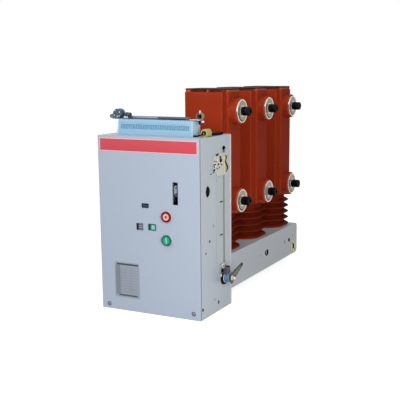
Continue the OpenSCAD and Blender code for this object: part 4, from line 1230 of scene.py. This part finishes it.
def add_left_clamp():
    """Plate on the block with a knurled drum carrying white painted glints, a cone that ends in an eye, and
    a small knob.
    """
    low, high = corners("left_lug")
    middle_y, deck = 0.5 * (low[1] + high[1]), low[2]
    drum_x, drum_z = low[0] + 31.0, high[2] - DRUM_R
    plate = set_at(tablet(57.0, 22.0, 2.5, 0.0, 3.0, 0.6),
                   (0.5 * (low[0] + 14.0 + high[0]), middle_y, deck))
    drum = set_at(knurled_drum(DRUM_R, 24.0, 22), (drum_x, high[1], drum_z), OUT_FRONT)
    along = np.linspace(0.0, 1.0, 12)
    path = np.column_stack([drum_x - 4.0 - 18.0 * along, np.full(12, middle_y), drum_z - 1.0 - 6.0 * along])
    cone = tube(path, 11.5 - 6.5 * along, 28)
    eye = set_at(ring_band(circle(5.6, 32), 2.4, 0.0, 6.0, 0.8), (low[0] + 5.8, middle_y + 3.0, deck + 7.0),
                 OUT_FRONT)
    add_piece("clamp_plate_and_drum", [plate, drum, cone, eye], CLAMP_BLUE, replaces=("left_lug",))
    # White dots on the drum's face: painted glints.
    specks = [(9.0, 4.0, 2.0), (-6.0, 8.0, 1.8), (2.0, -8.0, 2.2), (-9.0, -5.0, 1.6), (8.0, -7.0, 1.5)]
    glints = [placed(pan_screw(radius), x, z) for x, z, radius in specks]
    add_piece("clamp_painted_glints", out_front((drum_x, high[1] - 24.0, drum_z), *glints), SPECK_WHITE)
    knob = turned([(0.0, 0.0), (4.0, 0.0), (4.0, 3.0), (6.0, 3.2), (6.5, 4.0), (6.5, 9.0), (5.2, 9.6),
                   (5.2, 10.6), (6.5, 11.2), (6.5, 18.6), (5.6, 19.8), (0.0, 20.0)], 40)
    add_piece("clamp_knob", out_right((high[0] - 20.0, middle_y, deck + 13.0), tilted_up(knob, 4.0)),
              BLUE_STEEL)
    foot = set_at(tablet(10.0, 6.5, 1.0, 0.0, 8.5, 0.8), (high[0] - 14.0, middle_y, deck + 2.0))
    add_piece("clamp_foot", [foot], ZINC)


def add_right_clamp():
    """Bracket over the block's end: pale plate on a black one, black leg, open hoop and studs."""
    low, high = corners("right_lug")
    middle_y, deck, end = 0.5 * (low[1] + high[1]), high[2] - 28.0, high[0] - 8.0
    width = end - low[0]
    centre = (0.5 * (low[0] + end), middle_y, deck)
    hoop_place = (end - 4.0, middle_y + 7.0, deck + 2.0 + HOOP_R)
    upper = set_at(tablet(width, 22.0, 2.0, 1.5, 3.0, 0.5), centre)
    lower = set_at(tablet(width - 0.4, 21.6, 2.0, 0.0, 1.6, 0.2), centre)
    leg = set_at(tablet(22.0, 11.5, 1.0, -3.0, 0.0, 0.4), (end, middle_y, deck - 4.2), OUT_RIGHT)
    hub = turned([(0.0, 0.0), (6.4, 0.0), (6.4, 6.0), (3.4, 6.0), (3.4, 10.0), (2.8, 10.6),
                  (0.0, 10.6)], 36)
    band = ring_band(circle(HOOP_R, 48), 1.5, 0.0, 14.0, 0.5)
    stud = turned([(0.0, 18.0), (2.4, 18.0), (2.4, 26.8), (1.6, 28.0), (0.0, 28.0)], 20)
    screw = turned([(0.0, 0.0), (3.5, 0.0), (3.5, 6.0), (2.4, 8.0), (0.0, 8.0)], 24)
    add_piece("bracket_top", [upper], SPECK_WHITE, replaces=("right_lug",))
    add_piece("bracket_dark", [lower, leg] + out_front(hoop_place, hub), BLACK_OXIDE)
    add_piece("bracket_hoop", out_front(hoop_place, band), HOOP_BROWN)
    add_piece("bracket_stud", [set_at(stud, (end - 4.0, middle_y, deck)),
                               set_at(screw, (end, middle_y, deck - 3.0), OUT_RIGHT)], PIN_PALE)


def hoop(profile, count=64):
    """Revolves a closed loop of (radius, height) pairs: a ring with any cross section."""
    profile = np.array(profile, float)
    angle = np.linspace(0.0, 2.0 * np.pi, count, endpoint=False)
    height = np.repeat(profile[:, 1:2], count, axis=1)
    rings = np.stack([profile[:, :1] * np.cos(angle), profile[:, :1] * np.sin(angle), height], axis=-1)
    faces = np.array(grid_faces(len(profile) + 1, count)) % (len(profile) * count)
    return rings.reshape(-1, 3), faces.tolist()


def add_cable_ring():
    """Yellow soft tube of rounded coils, the black sleeve with its pale core, and the cable beside it."""
    low, high = corners("cable_ring")
    sleeve_low, sleeve_high = corners("cable_sleeve")
    length, x, height = high[1] - low[1], 0.5 * (low[0] + high[0]), TOP + RING_R - 0.5
    along = np.linspace(0.0, length, 57)
    coils = RING_R - 1.7 * (1.0 - np.abs(np.sin(4.0 * np.pi * along / length))) ** 2
    coils[[0, -1]] = RING_R - 2.2
    inner_wall = np.array([[6.6, length], [6.2, length - 1.0], [6.2, 1.0], [6.6, 0.0]])
    soft_tube = hoop(np.concatenate([np.column_stack([coils, along]), inner_wall]))
    points, faces = set_at(soft_tube, (x, low[1], height), TO_REAR)
    points[:, 2] = np.maximum(points[:, 2], TOP + 0.05)
    add_piece("ring_tube", [(points, faces)], RING_YELLOW, replaces=("cable_ring",),
              sharp_deg=60.0)
    sleeve = hoop([(3.0, 0.0), (5.0, -0.4), (6.0, 0.6), (6.0, 44.0), (4.5, 45.5), (3.0, 45.5)], 40)
    lying, rear = TOP + CABLE_R, sleeve_high[1]
    path = smooth_path([(x, low[1] + 12.0, height), (x, high[1] + 6.0, height - 0.6),
                        (x - 0.6, high[1] + 24.0, TOP + 5.0), (x, rear - 30.0, lying),
                        (x, rear - 10.0, lying), (x, rear, lying)])
    tail = smooth_path([(x - 4.0, low[1] - 0.5, height - 3.5), (x - 8.0, low[1] - 3.0, TOP + 6.0),
                        (x - 16.0, sleeve_low[1] + 3.0, TOP + 3.4),
                        (sleeve_low[0] + 6.0, sleeve_low[1] + 3.4, TOP + 2.6),
                        (sleeve_low[0], sleeve_low[1] + 3.8, TOP + 2.6)])
    add_piece("ring_sleeve", [set_at(sleeve, (x, low[1] - 3.0, height), TO_REAR), tube(path, CABLE_R, 20),
                              tube(tail, 2.2, 14)], BLACK_RUBBER,
              replaces=("cable_sleeve",))
    core = turned([(0.0, 0.0), (2.6, 0.0), (3.1, 0.8), (3.1, 10.0), (0.0, 10.0)], 24)
    add_piece("ring_core", [set_at(core, (x, low[1] - 1.0, height), TO_REAR)], RING_YELLOW)


add_terminal_block()
add_rail()
add_left_clamp()
add_right_clamp()
add_cable_ring()

# Right side of the box: places on it are measured from its lower front corner

SHEET_SUNK, MARK_PROUD = -0.5, 0.12
LEVER_OUT, LEVER_TURN = 23.0, 20.0
lever_joint = next(j for j in frame["record"]["behaviour"]["joints"] if j["name"] == "interlock_turn")
SHAFT = np.array([RIGHT, lever_joint["pos_m"][1] / MM, lever_joint["pos_m"][2] / MM])


def on_side(y, z):
    """Place on the box's right side."""
    return (RIGHT, FRONT + y, BOTTOM + z)


def from_shaft(out, y, z):
    """Place measured from the point where the lever's shaft leaves the side sheet."""
    return tuple(SHAFT + (out, y, z))


def obround(width, height):
    """A slot outline with round ends."""
    return rounded_rectangle(width, height, 0.499 * min(width, height), 8)


def marks_on_side(marks, low=SHEET_SUNK, high=MARK_PROUD):
    """Round-ended marks on the side sheet as (y, z, width, height)."""
    return [set_at(slab(obround(width, height), low, high), on_side(y, z), OUT_RIGHT)
            for y, z, width, height in marks]


def add_side_marks():
    """Punched holes and slots of the side sheet and its cover drawn dark as painted shade, the sheet's
    seam, and the rear edge bead, whose pale colour is a painted highlight.
    """
    on_sheet = [(66.5, 407.7, 10.0, 2.6), (83.0, 410.5, 9.0, 2.6), (56.7, 218.5, 8.0, 8.0),
                (12.6, 30.2, 9.0, 10.0), (110.0, 27.0, 8.0, 11.0)]
    on_cover = [(127.0, 321.6, 20.0, 3.6), (126.0, 225.0, 20.0, 3.6)]
    faint = [(80.8, 259.4, 3.4, 8.0), (33.2, 188.0, 8.0, 7.0), (85.2, 40.8, 6.0, 5.0)]
    height = TOP - BOTTOM
    seam = tablet(2.6, height - 4.0, 0.5, SHEET_SUNK, 0.1, per_corner=3)
    bead = tablet(5.0, height - 2.0, 1.0, 0.0, 1.6, 1.5)
    add_piece("side_punched_holes", marks_on_side(on_sheet) + marks_on_side(on_cover, 1.0, 1.72), HOLE_SHADE)
    add_piece("side_faint_marks", marks_on_side(faint), SEAM_LILAC)
    add_piece("side_seam", out_right(on_side(3.4, 0.5 * height), seam), SEAM_LILAC)
    # Pale bead along the rear edge: a painted highlight.
    add_piece("rear_edge_bead", out_right(on_side(REAR - FRONT - 3.0, 0.5 * height), bead), EDGE_HIGHLIGHT_PALE)


def add_side_holes():
    """Oval hole of the side sheet in its plate with a dark plate behind it, and the round hole that holds
    the end of the rod, dark in its upper half: painted shade.
    """
    points, faces = ring_band(obround(50.0, 50.0), 12.5, 0.0, 0.14, 0.05)
    at_hole = np.hypot(points[:, :1], points[:, 1:2]) < 15.0
    ring = np.where(at_hole, points * (0.94, 1.34, 1.0), points), faces
    # Painted shade: a dark plate behind the oval hole and a dark upper half in the round hole.
    back = slab(obround(31.0, 31.0), -39.5, -39.0)
    upper = slab(crescent(10.5, 17.0, -6.0, 186.0), 0.0, 0.16)
    lower = slab(crescent(10.5, 17.0, 174.0, 366.0), 0.0, 0.14)
    top_hole = on_side(147.5, 470.0)
    add_piece("side_hole_plate", out_right(on_side(47.0, 361.0), ring), SIDE_PAINT)
    add_piece("side_hole_dark", out_right(on_side(44.0, 361.0), back), HOLE_SHADE)
    add_piece("top_hole_dark", out_right(top_hole, upper), HOLE_SHADE)
    add_piece("top_hole_grey", out_right(top_hole, lower), RAIL_BLUE)


def spots_on(centre, level, spots):
    """Rounded bars round a centre, level proud of the side, as (y, z, width, height, turn)."""
    return [set_at(tilted(slab(obround(width, height), -2.0, 1.2, 0.5), turn),
                   (RIGHT + level, centre[1] + y, centre[2] + z), OUT_RIGHT)
            for y, z, width, height, turn in spots]


def add_upper_bearing():
    """Round flange crowded with screws and studs, pale plate, cream leaf, and the black return spring."""
    low, high = corners("upper_bearing")
    radius, height, middle_z = 24.5, high[2] - low[2], 0.5 * (low[2] + high[2])
    centre = (RIGHT, low[1] + radius, high[2] - 24.0)
    flange = turned([(0.0, 0.0), (radius, 0.0), (radius, 4.4), (radius - 0.8, 5.0), (14.6, 5.0),
                     (14.0, 5.9), (10.4, 6.0), (9.8, 5.0), (5.4, 5.0), (5.0, 1.0), (0.0, 1.0)], 72)
    plate = tablet(high[1] - low[1] - 40.0, height, 4.0, 0.0, 3.6, 0.8)
    plate_y = 0.5 * (low[1] + 29.5 + high[1]) - 7.0
    web = set_at(tablet(3.6, height - 6.0, 1.0, 0.0, 6.6, 0.8, per_corner=4),
                 (RIGHT, high[1] - 24.0, middle_z), OUT_RIGHT)
    leaf = set_at(tablet(20.0, height - 4.0, 7.0, 1.0, 5.6, 2.6), (RIGHT, high[1] - 14.0, middle_z),
                  OUT_RIGHT)
    add_piece("upper_bearing_flange",
              out_right(centre, flange) + out_right((RIGHT, plate_y, middle_z), plate),
              FLANGE_ZINC, replaces=("upper_bearing",))
    add_piece("upper_bearing_cream", [web, leaf], YELLOW_ZINC)
    dark = [(1.0, 22.5, 16.0, 4.4, 12.0), (23.0, 5.5, 13.0, 12.0, 0.0), (21.0, 14.5, 6.0, 8.0, 30.0),
            (-8.5, 4.5, 6.5, 5.0, 0.0), (-12.0, -2.5, 6.5, 5.0, 0.0), (8.0, -4.5, 8.0, 5.5, 0.0),
            (-19.0, -6.5, 4.0, 12.0, 10.0), (-16.0, -18.5, 4.0, 8.0, -30.0), (0.0, -16.0, 6.0, 4.0, 0.0),
            (13.0, -14.5, 5.0, 3.4, 20.0), (27.0, -6.5, 5.0, 3.4, -20.0), (-18.0, 5.5, 3.4, 7.0, -20.0),
            (50.0, 17.5, 9.0, 3.0, 20.0), (54.0, 10.5, 3.0, 9.0, 0.0)]
    bright = [(4.0, 7.5, 9.0, 5.0, 0.0), (-19.0, -0.5, 4.0, 6.0, 0.0), (-8.0, -8.5, 9.0, 4.4, 0.0),
              (-1.0, -1.5, 5.0, 8.0, 0.0), (18.0, -5.5, 8.0, 4.0, 0.0), (31.0, -3.5, 6.0, 5.0, 0.0),
              (4.0, 17.5, 9.0, 3.0, 0.0), (21.0, 21.5, 9.0, 3.0, 0.0), (8.0, -11.5, 6.0, 3.6, 0.0)]
    add_piece("upper_bearing_screws", spots_on(centre, 5.0, dark), BLACK_OXIDE)
    add_piece("upper_bearing_studs", spots_on(centre, 4.8, bright), SPECK_WHITE)
    bends = [(8.0, 57.4, 17.5), (8.0, 52.0, 7.5), (8.4, 48.0, -0.5), (8.8, 53.0, -9.5), (8.8, 59.0, -17.5),
             (8.4, 56.0, -25.5), (8.0, 49.0, -31.5)]
    path = smooth_path(np.array(bends) + centre, 12)
    thick = 1.0 + 1.2 * np.sin(np.linspace(0.0, 0.9 * np.pi, len(path))) ** 2
    add_piece("return_spring", [tube(path, thick, 12)], BLACK_OXIDE)


def add_lower_bearing():
    """Grey foot with its bolts, a black ring set low round the barrel as painted shade in its pocket, blue
    barrel for the shaft with a white line round its rim as a painted highlight, a pale washer, a pale strip
    at the hole's lip as a painted highlight, and the clamp over it.
    """
    low, high = corners("lower_bearing")
    reach, bolt = high[0] - RIGHT, (-12.0, 36.5)
    foot = tablet(high[1] - low[1] - 20.0, 30.0, 4.0, 0.0, 3.4, 0.7)
    foot_place = (RIGHT, 0.5 * (low[1] + high[1]) - 10.0, SHAFT[2] + 29.0)
    washer = ring_band(circle(7.0, 32), 3.4, 0.0, 2.0, 0.4)
    # Pale strip at the hole's lip: a painted highlight.
    lip = slab(obround(5.0, 12.0), 0.0, 3.0, 0.8)
    # Black ring set low round the barrel: painted shade in its pocket.
    ring = ring_band(circle(18.8, 72), 8.0, 0.0, 5.0, 0.8)
    head = slab(hexagon(3.4), 3.0, 6.0, 0.4)
    pad = tablet(9.0, 11.0, 2.0, 2.0, 5.6, 0.6)
    shelf = set_at(tablet(12.0, 9.0, 3.0, 0.0, 1.6, 0.6), from_shaft(13.0, -1.0, 33.6))
    # White line round the barrel's rim: a painted highlight.
    line = ring_band(circle(15.6, 72), 1.8, 4.6, 6.4, 0.5)
    clamp = tablet(19.0, 30.0, 7.0, 3.0, reach - 3.0, 3.4)
    barrel = ring_band(circle(14.4, 72), 6.3, -6.0, reach, 1.6)
    rib = ring_band(circle(15.0, 72), 2.0, 11.0, 13.4, 0.6)
    pin = turned([(0.0, 0.0), (2.2, 0.0), (2.2, 6.0), (1.5, 7.0), (0.0, 7.0)], 24)
    bright = out_right(from_shaft(3.4, *bolt), washer) + out_right(from_shaft(0.0, -22.0, 12.0), lip)
    dark = (out_right(from_shaft(0.0, -1.4, -2.6), ring) + out_right(from_shaft(0.0, *bolt), head)
            + out_right(from_shaft(0.0, -19.0, 24.0), pad) + [shelf])
    add_piece("lower_bearing_foot", out_right(foot_place, foot), ZINC, replaces=("lower_bearing",))
    add_piece("lower_bearing_washer_and_glint", bright, SPECK_WHITE)
    add_piece("lower_bearing_bolts", dark, BLACK_OXIDE)
    add_piece("lower_bearing_rim_glint", out_right(SHAFT, line), SPECK_WHITE)
    add_piece("lower_bearing_clamp", out_right(from_shaft(0.0, -1.0, 19.0), clamp), VIOLET_STEEL)
    add_piece("lower_bearing_barrel", out_right(SHAFT, barrel, rib), BLUE_ZINC)
    add_piece("lower_bearing_pin", [set_at(pin, from_shaft(6.0, -2.0, 34.5))], COPPER)


def link_outline(root, tip, length):
    """Taper link along local x: arcs of two circles, joined by the lines that touch both."""
    lean = np.arccos((root - tip) / length)
    far, near = np.linspace(-lean, lean, 18), np.linspace(lean, 2.0 * np.pi - lean, 44)
    return np.concatenate([tip * np.stack([np.cos(far), np.sin(far)], axis=1) + (length, 0.0),
                           root * np.stack([np.cos(near), np.sin(near)], axis=1)])


def add_interlock_lever():
    """Tapered lever with a raised rim, held on its shaft by a washer and a nut below the bright end."""
    low, high = corners("interlock_lever")
    place, end = from_shaft(LEVER_OUT, 0.0, 0.0), high[0] - RIGHT - LEVER_OUT
    outline = link_outline(14.0, 5.0, 74.0)
    arm = tilted(slab(outline, 0.0, 3.2, 0.7, 0.9), LEVER_TURN)
    heel = slab(rounded_rectangle(15.0, 17.0, 6.0) + (2.0, -9.4), 0.2, 3.0, 0.7, 0.9)
    rim = tilted(ring_band(moved_out(outline, -0.3), 2.2, 2.6, 4.0, 0.5), LEVER_TURN)
    rib = tilted(slab(link_outline(5.0, 1.6, 36.0) + (22.0, 0.0), 2.8, 3.9, 0.6), LEVER_TURN)
    tip = tilted(placed(tablet(9.0, 8.4, 3.6, 3.0, 4.1, 0.3), 72.6, 0.0), LEVER_TURN)
    notch = tilted(placed(tablet(7.0, 3.4, 1.2, 3.0, 4.1, 0.3), 24.0, 12.0), LEVER_TURN)
    shaft_end = RIGHT + LEVER_OUT + 1.0
    shaft = turned([(0.0, low[0]), (7.0, low[0]), (8.0, low[0] + 1.0), (8.0, shaft_end),
                    (0.0, shaft_end)], 40)
    washer = ring_band(circle(7.4, 48), 3.4, 3.0, 4.6, 0.4)
    nut = slab(hexagon(5.4), 4.4, 8.6, 0.9)
    stud = turned([(0.0, 4.0), (4.4, 4.0), (4.4, end - 1.2), (3.4, end), (0.0, end)], 32)
    slot, body = "rod_zinc", "interlock_lever_body"
    add_piece("lever_arm", out_right(place, arm, heel, rim), LEVER_STEEL, body, ("interlock_lever",))
    add_piece("lever_rib", out_right(place, rib), LEVER_RIDGE, body)
    add_piece("lever_worn_tip", out_right(place, tip, notch), BLACK_OXIDE, body)
    add_piece("lever_shaft", out_right((0.0, SHAFT[1], SHAFT[2]), shaft), ZINC, body)
    add_piece("lever_washer", out_right(place, washer), SPECK_WHITE, body)
    add_piece("lever_nut", out_right(place, nut), YELLOW_ZINC, body)
    add_piece("lever_stud", out_right(place, stud), PIN_PALE, body)


def add_rolled_edge():
    """Rolled edge of the rod's cover: a half-round strip from its foot to its top."""
    low, high = corners("rod_cover")
    turn = np.linspace(0.0, np.pi, 15)
    outline = np.stack([4.6 * np.cos(turn), 3.6 * np.sin(turn)], axis=1)
    strip = slab(outline, 0.0, high[2] - low[2] - 1.0, 0.0)
    along_z = np.array([[0.0, 1.0, 0.0], [1.0, 0.0, 0.0], [0.0, 0.0, 1.0]])
    add_piece("cover_rolled_edge", [set_at(strip, (RIGHT + 0.1, high[1] - 0.6, low[2] + 0.5), along_z)],
              ROD_ZINC)


soften("rod_cover", 0.5, TRIM_PAINT)
soften("interlock_rod", 0.4, ROD_ZINC)
add_rolled_edge()
add_side_marks()
add_side_holes()
add_upper_bearing()
add_lower_bearing()
add_interlock_lever()

# Base beam: places on its right side are measured from its lower front corner

soften("base_beam", 0.8, BEAM_PAINT)
soften("beam_end_plate", 0.6, BEAM_PAINT)


def on_beam(y, z):
    """Place on the beam's right side."""
    return (BEAM_HIGH[0], BEAM_LOW[1] + y, BEAM_LOW[2] + z)


def add_beam_trim():
    """Slotted plate at the far end; its slot, punched marks and the parts seen through the side holes are
    drawn dark as painted shade.
    """
    slot_plate = ring_band(rounded_rectangle(40.0, 42.0, 3.0), 11.0, 0.0, 1.2, 0.4)
    slot = slab(obround(17.0, 40.0), 0.0, 0.5)
    marks = [(slab(obround(4.0, 12.0), SHEET_SUNK, MARK_PROUD), (492.0, 58.0)),
             (slab(obround(5.0, 5.0), SHEET_SUNK, MARK_PROUD), (567.0, 69.0)),
             (tablet(26.0, 20.0, 8.0, SHEET_SUNK, MARK_PROUD), (330.0, 54.0)),
             (slab(obround(9.0, 13.0), SHEET_SUNK, MARK_PROUD), (537.0, 57.0)),
             (tablet(28.0, 22.0, 2.0, -7.0, -4.5), (324.0, 55.0)),
             (tablet(12.0, 12.0, 2.0, -7.0, -4.5), (279.0, 55.0)),
             (tablet(22.0, 22.0, 2.0, -7.0, -4.5), (533.0, 58.0))]
    dark = out_right(on_beam(576.0, 27.0), slot)
    for mark, (y, z) in marks:
        dark += out_right(on_beam(y, z), mark)
    bar_in_hole = tablet(3.0, 15.0, 1.2, 0.0, 0.4, 0.2)
    add_piece("beam_slot_plate", out_right(on_beam(576.0, 27.0), slot_plate), YELLOW_ZINC)
    add_piece("beam_dark_slots", dark, HOLE_SHADE)
    add_piece("beam_hole_bar", out_right(on_beam(325.0, 55.0), bar_in_hole), ZINC)


add_beam_trim()

bpy.context.scene.view_settings.view_transform = "Standard"
